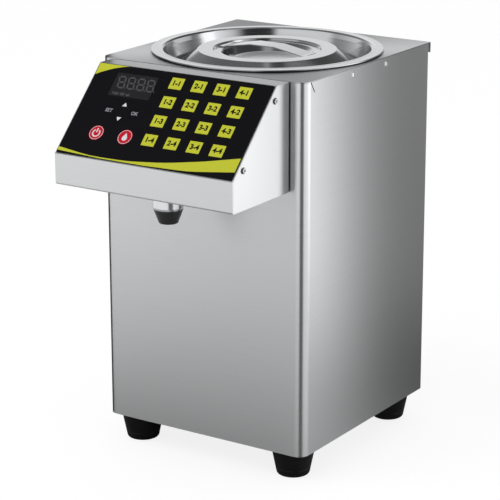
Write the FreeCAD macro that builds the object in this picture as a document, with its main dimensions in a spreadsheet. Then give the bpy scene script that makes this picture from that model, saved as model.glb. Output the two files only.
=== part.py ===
import FreeCAD, Part
import math
import os
import Sketcher
from FreeCAD import Placement, Rotation, Vector

# Countertop fructose dispenser, in millimetres.
# The origin is on the floor under the middle of the bounding box. +Z is up, the keypad and
# the nozzle look along -Y, and +X is to the right of someone who stands in front of it.

SIZES = {
    # Cabinet, folded from thin stainless sheet
    "cabinet_width": 225.0,
    "cabinet_depth": 226.5,
    "cabinet_height": 355.0,
    "sheet_gauge": 1.0,
    "corner_radius": 10.5,
    "rear_return": 12.0,
    "fold_gap": 0.2,
    "slit_setback": 9.3,
    "slit_lean": 6.9,
    "slit_depth": 10.7,
    "slit_width": 1.4,
    "window_width": 52.0,
    "window_height": 34.0,
    "window_centre_x": 52.0,
    "window_below_roof": 74.0,
    "window_corner": 4.0,
    "overrun": 1.0,
    # Top cover with its rear flange and side flanges
    "rear_overhang": 4.0,
    "rear_flange_height": 10.0,
    "side_flange_height": 13.0,
    "side_flange_front": 26.0,
    "side_flange_rear": 14.0,
    # Base plate
    "base_gauge": 1.2,
    "base_flange_height": 12.0,
    "base_slot_length": 34.0,
    "base_slot_width": 4.0,
    "slot_end_share": 0.49,
    "base_slot_pitch": 9.0,
    "base_slot_y": 50.0,
    # Feet
    "foot_height": 27.0,
    "foot_top_radius": 20.0,
    "foot_sole_radius": 15.5,
    "foot_sole_round": 3.0,
    "foot_inset_side": 25.0,
    "foot_inset_front": 23.5,
    "foot_well_radius": 6.0,
    "foot_web": 8.0,
    "bolt_radius": 2.5,
    "bolt_head_radius": 4.6,
    "bolt_head_height": 3.2,
    "bolt_end": 2.5,
    "nut_flats": 8.0,
    "nut_height": 4.0,
    "screw_clearance": 0.05,
    # Rear panel
    "panel_side_inset": 1.0,
    "panel_hem_gauge": 2.6,
    "panel_hem_height": 7.0,
    "louvre_width": 62.0,
    "louvre_height": 8.0,
    "louvre_rise": 2.6,
    "louvre_gauge": 0.8,
    "louvre_pitch": 14.0,
    "louvre_rows": 6.0,
    "louvre_below_roof": 145.0,
    "louvre_column_x": 42.0,
    # Fasteners that show on the casing
    "rivet_head_radius": 2.6,
    "rivet_head_height": 0.9,
    "dome_wide_share": 0.8,
    "dome_high_share": 0.75,
    "dome_top_share": 0.35,
    "rivet_shank_radius": 1.5,
    "rivet_below_roof": 6.9,
    "rivet_front_setback": 83.4,
    "rivet_rear_setback": 143.9,
    "screw_head_radius": 2.9,
    "screw_head_height": 1.2,
    "head_side_share": 0.5,
    "head_top_share": 0.6,
    "screw_shank_radius": 1.6,
    "screw_shank_length": 3.4,
    "box_screw_from_top": 11.4,
    "box_screw_from_lip": 16.7,
    "box_screw_inset": 7.0,
    "panel_screw_low": 52.0,
    "panel_screw_below_roof": 37.0,
    # Control box
    "box_side_setback": 15.5,
    "box_projection": 91.7,
    "box_flat_top": 21.0,
    "box_slope_drop": 72.0,
    "box_lip_height": 29.0,
    "box_flange_depth": 14.0,
    "box_frame_width": 9.0,
    "box_flange_end": 4.0,
    "box_bend": 0.6,
    # Keypad
    "overlay_gauge": 1.0,
    "overlay_side_margin": 1.5,
    "overlay_top_margin": 1.0,
    "overlay_low_margin": 2.0,
    "overlay_corner": 1.5,
    "key_gauge": 0.5,
    "key_gap": 0.15,
    "key_width": 14.4,
    "key_height": 12.5,
    "key_corner": 0.6,
    "key_column_shares": 0.12526,
    "key_row_shares": 0.2017,
    "key_first_x_share": -0.0216,
    "key_first_drop_share": 0.1209,
    "round_key_radius": 7.6,
    "round_key_drop_share": 0.7323,
    "power_key_x_share": -0.3247,
    "rinse_key_x_share": -0.1598,
    "small_key_width": 11.0,
    "small_key_height": 8.5,
    "small_key_corner": 1.2,
    "up_key_drop_share": 0.4103,
    "down_key_drop_share": 0.5599,
    "arrow_key_x_share": -0.2428,
    "side_key_drop_share": 0.4876,
    "set_key_x_share": -0.3165,
    "enter_key_x_share": -0.1691,
    "display_width": 46.0,
    "display_height": 25.0,
    "display_x_share": -0.2485,
    "display_drop_share": 0.2081,
    "module_margin": 3.0,
    "module_depth": 7.0,
    "module_gap": 0.3,
    "board_side_gap": 9.0,
    "board_end_gap": 8.45,
    "board_gauge": 1.6,
    "board_corner": 2.0,
    "stud_radius": 2.8,
    "stud_inset": 4.5,
    "relay_width": 15.0,
    "relay_length": 19.0,
    "relay_height": 15.0,
    "relay_pitch": 21.0,
    "chip_height": 3.0,
    "relay_x": 24.0,
    "relay_drop": 36.0,
    # Tank
    "tank_side_gap": 1.5,
    "tank_gauge": 0.8,
    "room_under_tank": 105.0,
    "tank_heel": 9.0,
    "tank_fall": 5.0,
    "tank_flange_width": 5.3,
    "tank_clearance": 0.3,
    "gasket_gauge": 0.8,
    "gasket_setback": 1.2,
    "gasket_width": 4.8,
    "outlet_hole_radius": 8.0,
    "outlet_land_radius": 15.0,
    "heater_gauge": 2.0,
    "heater_height": 44.0,
    "heater_above_heel": 12.0,
    "sleeve_gauge": 3.8,
    "sleeve_top_gap": 22.0,
    # Lid
    "lid_gauge": 0.8,
    "lid_overlap": 7.4,
    "lid_skirt": 1.6,
    "lid_wall_setback": 3.4,
    "lid_crest_rise": 0.7,
    "lid_wall_draft": 5.6,
    "lid_trough_depth": 17.4,
    "lid_trough_setback": 15.0,
    "lid_cone_run": 22.0,
    "lid_plateau_drop": 1.2,
    "lid_plateau_width": 14.0,
    "lid_step_draft": 1.2,
    "lid_step_depth": 2.2,
    "lid_step_round": 1.0,
    "lid_ledge_width": 7.6,
    "lid_bowl_draft": 11.8,
    "lid_bowl_depth": 7.3,
    "lid_round": 2.2,
    "lid_edge_round": 1.2,
    "strap_width": 19.6,
    "strap_gauge": 1.2,
    "strap_rise": 5.6,
    "strap_foot": 4.9,
    "strap_lap": 4.0,
    "strap_arch_share": 0.94,
    # Outlet fitting and hoses
    "fitting_flange_radius": 13.0,
    "fitting_flange_gauge": 2.0,
    "fitting_nut_radius": 12.0,
    "fitting_nut_height": 6.0,
    "barb_radius": 4.2,
    "barb_crest": 0.7,
    "barb_pitch": 4.0,
    "bore_radius": 2.8,
    "hose_gap": 0.1,
    "hose_wall": 1.8,
    "hose_seat": 0.3,
    "clamp_width": 6.0,
    "clamp_gauge": 0.8,
    "clamp_setback": 3.0,
    "clamp_ear": 4.0,
    # Gear pump and motor
    "pump_from_side": 56.5,
    "pump_axis_height": 33.0,
    "bracket_y": 2.0,
    "gear_module": 1.25,
    "gear_teeth": 14.0,
    "gear_width": 12.0,
    "gear_addendum_share": 0.9,
    "gear_dedendum_share": 1.2,
    "gear_thickness_share": 0.46,
    "gear_tip_gap": 0.15,
    "gear_side_gap": 0.15,
    "shaft_radius": 4.0,
    "shaft_gap": 0.05,
    "shaft_end": 4.0,
    "pump_wall": 9.0,
    "pump_rear_wall": 8.0,
    "pump_cover_gauge": 8.0,
    "pump_corner": 5.0,
    "pump_screw_inset": 4.6,
    "elbow_block": 12.0,
    "elbow_gap": 1.0,
    "bracket_gauge": 2.0,
    "bracket_width": 50.0,
    "bracket_foot": 26.0,
    "bracket_margin": 4.0,
    "bracket_screw_inset": 6.0,
    "motor_radius": 25.0,
    "motor_wall": 2.0,
    "motor_length": 78.0,
    "motor_edge_round": 2.0,
    "rotor_radius": 19.0,
    "rotor_gap": 6.0,
    "motor_shaft_radius": 2.5,
    "socket_depth": 9.0,
    # Power supply and inlet
    "supply_from_side": 52.5,
    "supply_y": 40.0,
    "supply_width": 74.0,
    "supply_depth": 108.0,
    "supply_height": 38.0,
    "supply_foot_height": 3.0,
    "supply_foot_inset": 9.0,
    "supply_edge": 1.5,
    "supply_vent_length": 52.0,
    "supply_vent_width": 3.0,
    "supply_vent_pitch": 9.0,
    "inlet_from_side": 50.5,
    "inlet_height": 76.0,
    "inlet_flange_width": 31.0,
    "inlet_flange_height": 60.0,
    "inlet_flange_gauge": 1.5,
    "inlet_flange_corner": 3.0,
    "inlet_body_width": 26.6,
    "inlet_body_height": 50.0,
    "inlet_body_depth": 27.0,
    "socket_width": 24.0,
    "socket_height": 16.5,
    "socket_recess": 16.0,
    "socket_chamfer": 4.5,
    "socket_drop": 12.5,
    "blade_width": 4.0,
    "blade_gauge": 2.0,
    "blade_length": 11.0,
    "blade_spread": 7.0,
    "blade_offset": 2.0,
    "rocker_width": 19.0,
    "rocker_height": 12.0,
    "rocker_rise": 13.5,
    "rocker_depth": 8.0,
    "rocker_gap": 0.4,
    "rocker_well": 3.0,
    "rocker_crown": 0.4,
    "rocker_dip": 0.24,
    "rocker_taper_share": 0.8,
    "rocker_tilt_share": 0.11,
    # Nozzle
    "nozzle_reach": 51.3,
    "nozzle_radius": 14.0,
    "nozzle_length": 20.0,
    "nozzle_edge": 0.8,
    "nozzle_stem_radius": 9.0,
    "nozzle_stem_length": 14.0,
    "nozzle_nut_radius": 13.0,
    "nozzle_nut_height": 5.0,
    "cone_height": 11.0,
    "cone_tip_radius": 8.8,
    "cone_tip_round": 1.2,
    "cone_spigot_radius": 7.0,
    "cone_spigot_length": 6.0,
    "cone_bore_radius": 4.0,
    # Hose run inside the cabinet and the control box
    "climb_from_side": 22.5,
    "climb_from_front": 20.0,
    "climb_lean": 5.0,
    "hose_rise": 26.0,
    "hose_arch": 30.0,
}

doc = FreeCAD.newDocument("fructose_dispenser")
sheet = doc.addObject("Spreadsheet::Sheet", "Sizes")


def words_of(value):
    """Gives a size its spreadsheet formula, and a plain number its digits."""
    return value.words if isinstance(value, Size) else repr(float(value))


class Size(float):
    """A number that remembers the spreadsheet formula it came from."""

    def __new__(cls, number, words):
        made = float.__new__(cls, number)
        made.words = words
        return made

    def __add__(self, other):
        return Size(float(self) + float(other), f"({self.words} + {words_of(other)})")

    def __sub__(self, other):
        return Size(float(self) - float(other), f"({self.words} - {words_of(other)})")

    def __mul__(self, other):
        return Size(float(self) * float(other), f"({self.words} * {words_of(other)})")

    def __truediv__(self, other):
        return Size(float(self) / float(other), f"({self.words} / {words_of(other)})")

    def __neg__(self):
        return Size(-float(self), f"(0 - {self.words})")

    def __radd__(self, other):
        return Size(float(other) + float(self), f"({words_of(other)} + {self.words})")

    def __rsub__(self, other):
        return Size(float(other) - float(self), f"({words_of(other)} - {self.words})")

    def __rmul__(self, other):
        return Size(float(other) * float(self), f"({words_of(other)} * {self.words})")


def root(size):
    """The square root of a size that is an area."""
    return Size(math.sqrt(size), f"sqrt({size.words})")


def least(one, other):
    """The smaller of two sizes."""
    return Size(min(one, other), f"min({one.words}; {other.words})")


class Dimensions:
    """The cells of the spreadsheet, each read by its own name."""


dim = Dimensions()
for row, (name, value) in enumerate(SIZES.items(), start=1):
    sheet.set(f"A{row}", name)
    sheet.set(f"B{row}", str(value))
    sheet.setAlias(f"B{row}", name)
    setattr(dim, name, Size(value, f"Sizes.{name}"))
doc.recompute()

# Places that many pieces share
half_width = dim.cabinet_width / 2
front = (dim.box_projection - dim.cabinet_depth - dim.rear_overhang) / 2
rear = front + dim.cabinet_depth
floor_top = dim.foot_height + dim.base_gauge
roof = dim.foot_height + dim.cabinet_height
wrap_top = roof - dim.sheet_gauge
tank_y = front + dim.cabinet_depth / 2
inside = dim.sheet_gauge + dim.fold_gap
box_width = dim.cabinet_width - dim.box_side_setback * 2
pump_x = dim.pump_from_side - half_width
supply_x = half_width - dim.supply_from_side
inlet_x = half_width - dim.inlet_from_side

# The tank fills the cabinet but for its wrappings: from the outside in, a gap to the skin, a
# sleeve of foam, a heating mat and the tank's own wall
sleeve_radius = least(half_width, dim.cabinet_depth / 2) - dim.sheet_gauge - dim.tank_side_gap
sleeve_inner = sleeve_radius - dim.sleeve_gauge
heater_inner = sleeve_inner - dim.fold_gap - dim.heater_gauge
tank_outer = heater_inner - dim.fold_gap
tank_radius = tank_outer - dim.tank_gauge
tank_depth = dim.cabinet_height - dim.room_under_tank

nodes = {}


def keep(name, item):
    """Labels a finished sub-part, so that it is checked and written."""
    item.Label = name
    nodes[name] = item
    return item


def body_for(name):
    return doc.addObject("PartDesign::Body", name)


class Round(tuple):
    """A circle in a sketch: its centre and radius."""

    def __new__(cls, x, y, radius):
        return tuple.__new__(cls, (x, y, radius))


def rectangle(x, y, width, height, radius=0):
    """Corners of a rectangle about a centre, with rounded corners where a radius is given."""
    left, right = x - width / 2, x + width / 2
    low, high = y - height / 2, y + height / 2
    return [(left, low, radius), (right, low, radius), (right, high, radius), (left, high, radius)]


def pin_point(rules, geometry, end, x, y):
    """Holds one point of a sketch at two sizes, or on an axis where a size is zero."""
    for kind, axis, value in (("DistanceX", -2, x), ("DistanceY", -1, y)):
        if value == 0:
            rules.append((Sketcher.Constraint("PointOnObject", geometry, end, axis), None))
        else:
            rules.append((Sketcher.Constraint(kind, -1, 1, geometry, end, float(value)), value))


def draw_circle(sketch, circle):
    x, y, radius = circle
    shape = Part.Circle(Vector(x, y, 0), Vector(0, 0, 1), radius)
    index = sketch.addGeometry(shape, False)
    rules = [(Sketcher.Constraint("Radius", index, float(radius)), radius)]
    pin_point(rules, index, 3, x, y)
    return rules


def corner_arc(before, here, after, radius):
    """The arc that rounds one corner: where it leaves each edge, its curve, and its sense."""
    corner = Vector(here[0], here[1], 0)
    back = (Vector(before[0], before[1], 0) - corner).normalize()
    ahead = (Vector(after[0], after[1], 0) - corner).normalize()
    half = back.getAngle(ahead) / 2
    first = corner + back * (radius / math.tan(half))
    last = corner + ahead * (radius / math.tan(half))
    centre = corner + (back + ahead).normalize() * (radius / math.sin(half))
    circle = Part.Circle(centre, Vector(0, 0, 1), radius)
    away_first, away_last = first - centre, last - centre
    start = math.atan2(away_first.y, away_first.x)
    end = math.atan2(away_last.y, away_last.x)
    sweep = (end - start) % (2 * math.pi)
    forward = sweep < math.pi
    if forward:
        curve = Part.ArcOfCircle(circle, start, start + sweep)
    else:
        curve = Part.ArcOfCircle(circle, end, end + 2 * math.pi - sweep)
    return first, last, curve, forward


def draw_loop(sketch, points):
    """A closed outline: straight edges between its corners, and an arc where a corner has a radius."""
    count = len(points)
    radii = [point[2] if len(point) > 2 else 0 for point in points]
    arcs = [
        corner_arc(points[i - 1], points[i], points[(i + 1) % count], float(radii[i])) if radii[i] else None
        for i in range(count)
    ]
    corners = [Vector(point[0], point[1], 0) for point in points]
    ends = [arcs[i][0] if arcs[i] else corners[i] for i in range(count)]
    starts = [arcs[i][1] if arcs[i] else corners[i] for i in range(count)]
    lines = [
        sketch.addGeometry(Part.LineSegment(starts[i], ends[(i + 1) % count]), False) for i in range(count)
    ]
    rules = []
    for i in range(count):
        came, goes = lines[i - 1], lines[i]
        x, y = points[i][0], points[i][1]
        if not arcs[i]:
            rules.append((Sketcher.Constraint("Coincident", came, 2, goes, 1), None))
            pin_point(rules, goes, 1, x, y)
            continue
        corner = sketch.addGeometry(Part.Point(corners[i]), True)
        bend = sketch.addGeometry(arcs[i][2], False)
        first, last = (1, 2) if arcs[i][3] else (2, 1)
        rules.append((Sketcher.Constraint("PointOnObject", corner, 1, came), None))
        rules.append((Sketcher.Constraint("PointOnObject", corner, 1, goes), None))
        rules.append((Sketcher.Constraint("Tangent", came, 2, bend, first), None))
        rules.append((Sketcher.Constraint("Tangent", goes, 1, bend, last), None))
        rules.append((Sketcher.Constraint("Radius", bend, float(radii[i])), radii[i]))
        pin_point(rules, corner, 1, x, y)
    return rules


def sketch_on(body, role, loops, lift=0, at=None):
    """Draws loops on one of the body's own origin planes, each size bound to the spreadsheet.

    The sketch is lifted off its plane by lift. Where at is given, it is moved there and
    tilted about X first, and the lift is along the tilted normal.
    """
    sketch = body.newObject("Sketcher::SketchObject", f"{body.Name}_outline")
    plane = next(item for item in body.Origin.OriginFeatures if item.Role == role)
    sketch.AttachmentSupport = [(plane, "")]
    sketch.MapMode = "FlatFace"
    offsets = {"z": lift}
    turned = Rotation()
    if at:
        turned = Rotation(Vector(1, 0, 0), float(at["tilt"]))
        offsets = {"y": at["y"] - lift * across[0], "z": at["z"] + lift * across[1]}
    sketch.AttachmentOffset = Placement(Vector(0, offsets.get("y", 0), offsets["z"]), turned)
    if at:
        sketch.setExpression("AttachmentOffset.Rotation.Angle", at["tilt"].words)
    for letter, value in offsets.items():
        if isinstance(value, Size):
            sketch.setExpression(f"AttachmentOffset.Base.{letter}", value.words)
    rules = []
    for loop in loops:
        rules += draw_circle(sketch, loop) if isinstance(loop, Round) else draw_loop(sketch, loop)
    indices = sketch.addConstraint([rule for rule, _ in rules])
    for index, (_, value) in zip(indices, rules):
        if isinstance(value, Size):
            sketch.setExpression(f"Constraints[{index}]", value.words)
    return sketch


def pad(body, role, loops, length, lift=0, side="One side", back=False, at=None):
    feature = body.newObject("PartDesign::Pad", f"{body.Name}_pad")
    feature.Profile = sketch_on(body, role, loops, lift, at)
    feature.setExpression("Length", length.words)
    feature.SideType = side
    feature.Reversed = back
    body.Tip = feature
    doc.recompute()
    return feature


def pocket(body, role, loops, depth, lift=0, at=None):
    """Cuts loops out of a body, half of the depth on each side of the sketch."""
    doc.recompute()
    before = body.Shape.Volume
    feature = body.newObject("PartDesign::Pocket", f"{body.Name}_pocket")
    feature.Profile = sketch_on(body, role, loops, lift, at)
    feature.setExpression("Length", depth.words)
    feature.SideType = "Symmetric"
    body.Tip = feature
    doc.recompute()
    if not body.Shape.Volume < before:
        raise RuntimeError(f"{body.Name}: the cut took nothing away")
    return feature


def turn(body, points):
    """Turns a half outline about the body's Z axis."""
    feature = body.newObject("PartDesign::Revolution", f"{body.Name}_turned")
    profile = sketch_on(body, "XZ_Plane", [points])
    feature.Profile = profile
    feature.ReferenceAxis = (profile, ["V_Axis"])
    feature.Angle = 360
    body.Tip = feature
    doc.recompute()
    return feature


def row_of(body, features, axis, length, count):
    """Repeats features in a row along an axis of their own sketch."""
    pattern = body.newObject("PartDesign::LinearPattern", f"{body.Name}_row")
    pattern.Originals = features
    pattern.Direction = (features[0].Profile[0], [axis])
    pattern.setExpression("Length", length.words)
    pattern.Occurrences = int(count)
    body.Tip = pattern
    doc.recompute()
    return pattern


def place(item, x=0, y=0, z=0, tilt=0, about=Vector(1, 0, 0)):
    """Sets where a sub-part stands, bound to the spreadsheet."""
    item.Placement = Placement(Vector(x, y, z), Rotation(about, float(tilt)))
    for letter, value in (("x", x), ("y", y), ("z", z)):
        if isinstance(value, Size):
            item.setExpression(f"Placement.Base.{letter}", value.words)
    if isinstance(tilt, Size):
        item.setExpression("Placement.Rotation.Angle", tilt.words)
    return item


def set_of(name, items):
    """Several separate solids that are kept in one node."""
    group = doc.addObject("Part::Compound", name)
    group.Links = items
    doc.recompute()
    return keep(name, group)


def hex_nut(name, flats, hole, height, z=0):
    """A hexagon nut with its lower face at z; flats is half the width across its flats."""
    made = body_for(name)
    tip = flats * (2 / math.sqrt(3))
    pad(made, "XY_Plane", [[
        (tip, 0), (tip / 2, flats), (-tip / 2, flats), (-tip, 0), (-tip / 2, -flats), (tip / 2, -flats),
    ], Round(0, 0, hole)], height, lift=z)
    return made


# Cabinet wrap: one sheet folded round the front and both sides, with a return along each
# rear edge, a window behind the control box and a relief slit at each top front corner
wrap = body_for("body_wrap")
skin = dim.sheet_gauge
pad(wrap, "XY_Plane", [[
    (-half_width, rear),
    (-half_width, front, dim.corner_radius),
    (half_width, front, dim.corner_radius),
    (half_width, rear),
    (half_width - dim.rear_return, rear),
    (half_width - dim.rear_return, rear - skin),
    (half_width - skin, rear - skin),
    (half_width - skin, front + skin, dim.corner_radius - skin),
    (-half_width + skin, front + skin, dim.corner_radius - skin),
    (-half_width + skin, rear - skin),
    (-half_width + dim.rear_return, rear - skin),
    (-half_width + dim.rear_return, rear),
]], wrap_top - dim.foot_height, lift=dim.foot_height)
window_z = roof - dim.window_below_roof
pocket(wrap, "XZ_Plane", [
    rectangle(-dim.window_centre_x, window_z, dim.window_width, dim.window_height, dim.window_corner),
    rectangle(dim.window_centre_x, window_z, dim.window_width, dim.window_height, dim.window_corner),
], skin * 3, lift=-front)
slit_y = front + dim.slit_setback
pocket(wrap, "YZ_Plane", [[
    (slit_y, wrap_top + dim.overrun),
    (slit_y + dim.slit_width, wrap_top + dim.overrun),
    (slit_y + dim.slit_lean + dim.slit_width, roof - dim.slit_depth),
    (slit_y + dim.slit_lean, roof - dim.slit_depth),
]], dim.cabinet_width + dim.overrun)
rivet_hole = dim.rivet_shank_radius + dim.screw_clearance
rivet_ys = [front + dim.rivet_front_setback, front + dim.rivet_rear_setback]
rivet_z = roof - dim.rivet_below_roof
pocket(wrap, "YZ_Plane", [Round(y, rivet_z, rivet_hole) for y in rivet_ys], dim.cabinet_width + dim.overrun)
screw_hole = dim.screw_shank_radius + dim.screw_clearance
panel_screw_x = half_width - dim.rear_return / 2
panel_screw_zs = [dim.foot_height + dim.panel_screw_low, roof - dim.panel_screw_below_roof]
panel_screws = [(x * side, z) for x in (panel_screw_x,) for side in (1, -1) for z in panel_screw_zs]
pocket(wrap, "XZ_Plane", [Round(x, z, screw_hole) for x, z in panel_screws], skin * 3, lift=-rear)
keep("body_wrap", wrap)

# Base plate: a shallow tray inside the foot of the wrap, with bolt holes for the feet and
# cooling slots under the motor
tray_half = half_width - inside
tray_front = front + inside
tray_rear = rear - inside
plate_corner = dim.corner_radius - inside
floor_plate = body_for("base_plate")
outline = [
    (-tray_half, tray_rear),
    (-tray_half, tray_front, plate_corner),
    (tray_half, tray_front, plate_corner),
    (tray_half, tray_rear),
]
gauge = dim.base_gauge
inner = [
    (-tray_half + gauge, tray_rear - gauge),
    (-tray_half + gauge, tray_front + gauge, plate_corner - gauge),
    (tray_half - gauge, tray_front + gauge, plate_corner - gauge),
    (tray_half - gauge, tray_rear - gauge),
]
pad(floor_plate, "XY_Plane", [outline], gauge, lift=dim.foot_height)
pad(floor_plate, "XY_Plane", [outline, inner], dim.base_flange_height, lift=dim.foot_height)
foot_x = half_width - dim.foot_inset_side
foot_ys = [front + dim.foot_inset_front, rear - dim.foot_inset_front]
foot_places = [(foot_x * side, y) for side in (1, -1) for y in foot_ys]
bolt_hole = dim.bolt_radius + dim.screw_clearance
pocket(floor_plate, "XY_Plane", [Round(x, y, bolt_hole) for x, y in foot_places], gauge * 3,
       lift=dim.foot_height)
slot = pocket(floor_plate, "XY_Plane", [
    rectangle(pump_x, dim.base_slot_y, dim.base_slot_length, dim.base_slot_width,
              dim.base_slot_width * dim.slot_end_share),
], gauge * 3, lift=dim.foot_height)
row_of(floor_plate, [slot], "V_Axis", dim.base_slot_pitch * 4, 5)
keep("base_plate", floor_plate)

# Rubber feet: tapered, with a rounded sole and a well for the bolt's head
feet, bolts = [], []
for x, y in foot_places:
    foot = body_for("rubber_foot")
    turn(foot, [
        (bolt_hole, dim.foot_height),
        (bolt_hole, dim.foot_height - dim.foot_web),
        (dim.foot_well_radius, dim.foot_height - dim.foot_web),
        (dim.foot_well_radius, 0),
        (dim.foot_sole_radius, 0, dim.foot_sole_round),
        (dim.foot_top_radius, dim.foot_height),
    ])
    feet.append(place(foot, x, y))
    bolt = body_for("foot_bolt")
    head_top = dim.foot_height - dim.foot_web
    bolt_top = floor_top + dim.nut_height + dim.bolt_end
    turn(bolt, [
        (0, head_top - dim.bolt_head_height),
        (dim.bolt_head_radius, head_top - dim.bolt_head_height),
        (dim.bolt_head_radius, head_top),
        (dim.bolt_radius, head_top),
        (dim.bolt_radius, bolt_top),
        (0, bolt_top),
    ])
    bolts.append(place(bolt, x, y))
    nut = hex_nut("foot_nut", dim.nut_flats / 2, bolt_hole, dim.nut_height, floor_top)
    bolts.append(place(nut, x, y))
set_of("rubber_feet", feet)
set_of("foot_bolts", bolts)

# Top cover: a plate flush with the wrap, the tank's opening, a flange that hangs over the
# rear panel and a riveted flange inside each side
cover = body_for("top_cover")
cover_rear = rear + dim.rear_overhang
tank_hole = tank_radius + dim.tank_gauge + dim.tank_clearance
pad(cover, "XY_Plane", [[
    (-half_width, cover_rear),
    (-half_width, front, dim.corner_radius),
    (half_width, front, dim.corner_radius),
    (half_width, cover_rear),
], Round(0, tank_y, tank_hole)], skin, lift=wrap_top)
pad(cover, "YZ_Plane", [[
    (cover_rear - skin, roof - dim.rear_flange_height),
    (cover_rear, roof - dim.rear_flange_height),
    (cover_rear, wrap_top),
    (cover_rear - skin, wrap_top),
]], dim.cabinet_width, side="Symmetric")
flange_low = wrap_top - dim.side_flange_height
for side in (1, -1):
    outer, within = (half_width - inside) * side, (half_width - inside - skin) * side
    pad(cover, "XY_Plane", [[
        (within, front + dim.side_flange_front),
        (outer, front + dim.side_flange_front),
        (outer, rear - dim.side_flange_rear),
        (within, rear - dim.side_flange_rear),
    ]], dim.side_flange_height, lift=flange_low)
pocket(cover, "YZ_Plane", [Round(y, rivet_z, rivet_hole) for y in rivet_ys], dim.cabinet_width + dim.overrun)
keep("top_cover", cover)

# Domed rivets that hold the top cover's flanges to the sides
rivets = []
rivet_grip = dim.sheet_gauge * 2 + dim.fold_gap
for y in rivet_ys:
    for side in (1, -1):
        rivet = body_for("rivet")
        turn(rivet, [
            (0, -rivet_grip),
            (dim.rivet_shank_radius, -rivet_grip),
            (dim.rivet_shank_radius, 0),
            (dim.rivet_head_radius, 0),
            (dim.rivet_head_radius * dim.dome_wide_share, dim.rivet_head_height * dim.dome_high_share),
            (dim.rivet_head_radius * dim.dome_top_share, dim.rivet_head_height),
            (0, dim.rivet_head_height),
        ])
        rivets.append(place(rivet, half_width * side, y, rivet_z, 90 * side, Vector(0, 1, 0)))
set_of("cabinet_rivets", rivets)

# Rear panel: a plate screwed to the wrap's returns, with a folded hem under the cover's
# flange, two columns of pressed louvres and the inlet's cut-out
panel = body_for("rear_panel")
panel_half = half_width - dim.panel_side_inset
panel_top = wrap_top - dim.fold_gap
inlet_z = dim.foot_height + dim.inlet_height
pad(panel, "XZ_Plane", [
    rectangle(0, (dim.foot_height + panel_top) / 2, panel_half * 2, panel_top - dim.foot_height),
], skin, lift=-(rear + skin))
pad(panel, "YZ_Plane", [[
    (rear + skin, panel_top - dim.panel_hem_height),
    (rear + dim.panel_hem_gauge, panel_top - dim.panel_hem_height),
    (rear + dim.panel_hem_gauge, panel_top),
    (rear + skin, panel_top),
]], panel_half * 2, side="Symmetric")
louvre_z = roof - dim.louvre_below_roof
louvre_top = louvre_z + dim.louvre_height
louvre_lean = dim.louvre_rise / dim.louvre_height
hood_face = rear + skin
hood_wall = dim.louvre_gauge * root(1 + louvre_lean * louvre_lean)
for side in (1, -1):
    column = dim.louvre_column_x * side
    hood = pad(panel, "YZ_Plane", [[
        (hood_face, louvre_z),
        (hood_face + dim.louvre_rise, louvre_z),
        (hood_face, louvre_top),
    ]], dim.louvre_width, lift=column, side="Symmetric")
    mouth = pocket(panel, "YZ_Plane", [[
        (rear - dim.overrun, louvre_z),
        (hood_face + dim.louvre_rise - hood_wall, louvre_z),
        (rear - dim.overrun, louvre_top + (skin + dim.overrun - hood_wall) / louvre_lean),
    ]], dim.louvre_width - dim.louvre_gauge * 2, lift=column)
    row_of(panel, [hood, mouth], "V_Axis", dim.louvre_pitch * (dim.louvre_rows - 1), dim.louvre_rows)
pocket(panel, "XZ_Plane", [
    rectangle(inlet_x, inlet_z, dim.inlet_body_width + dim.fold_gap,
              dim.inlet_body_height + dim.fold_gap),
], skin * 3, lift=-rear)
pocket(panel, "XZ_Plane", [Round(x, z, screw_hole) for x, z in panel_screws], skin * 3, lift=-(rear + skin))
keep("rear_panel", panel)

# Control box: its side outline is a flat top, a slope for the keypad and an upright lip.
# The front sheet is bent over those three, and lies on the edges of the tray's sides.
box_half = box_width / 2
slope_run = dim.box_projection - dim.box_flat_top
slope_drop = dim.box_slope_drop
slope_length = root(slope_run * slope_run + slope_drop * slope_drop)
slope_angle = Size(
    math.degrees(math.atan2(slope_drop, slope_run)),
    f"atan({slope_drop.words} / {slope_run.words})",
)
slope_y = front - dim.box_flat_top
lip_y = front - dim.box_projection
box_floor = roof - slope_drop - dim.box_lip_height
top_mitre = (slope_length - slope_run) / slope_drop
lip_mitre = (slope_length - slope_drop) / slope_run
under_top = (slope_y + skin * top_mitre, roof - skin)
behind_lip = (lip_y + skin, roof - slope_drop - skin * lip_mitre)
bend = dim.box_bend
across = (slope_drop / slope_length, slope_run / slope_length)
screw_reaches = [dim.box_screw_from_top, slope_length - dim.box_screw_from_lip]
box_screws = [
    (slope_y - reach * across[1] + dim.box_screw_inset * across[0],
     roof - reach * across[0] - dim.box_screw_inset * across[1])
    for reach in screw_reaches
]
slope_at = {"y": slope_y, "z": roof, "tilt": slope_angle}

face = body_for("control_box_front")
pad(face, "YZ_Plane", [[
    (front, roof),
    (slope_y, roof, bend + skin),
    (lip_y, roof - slope_drop, bend + skin),
    (lip_y, box_floor),
    (lip_y + skin, box_floor),
    (*behind_lip, bend),
    (*under_top, bend),
    (front, roof - skin),
]], box_width, side="Symmetric")
band_end = dim.box_flange_end
band_depth = dim.box_flange_depth
band_top = (under_top[0] - band_end * across[1], under_top[1] - band_end * across[0])
band_low = (behind_lip[0] + band_end * across[1], behind_lip[1] + band_end * across[0])
band = [
    band_top,
    band_low,
    (band_low[0] + band_depth * across[0], band_low[1] - band_depth * across[1]),
    (band_top[0] + band_depth * across[0], band_top[1] - band_depth * across[1]),
]
flange_width = box_width - inside * 2
pad(face, "YZ_Plane", [band], flange_width, side="Symmetric")
pocket(face, "YZ_Plane", [band], flange_width - skin * 2)
pocket(face, "YZ_Plane", [Round(y, z, screw_hole) for y, z in box_screws], box_width + dim.overrun)
board_width = box_width - dim.board_side_gap * 2
board_height = slope_length - dim.board_end_gap * 2
stud_x = board_width / 2 - dim.stud_inset
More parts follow.
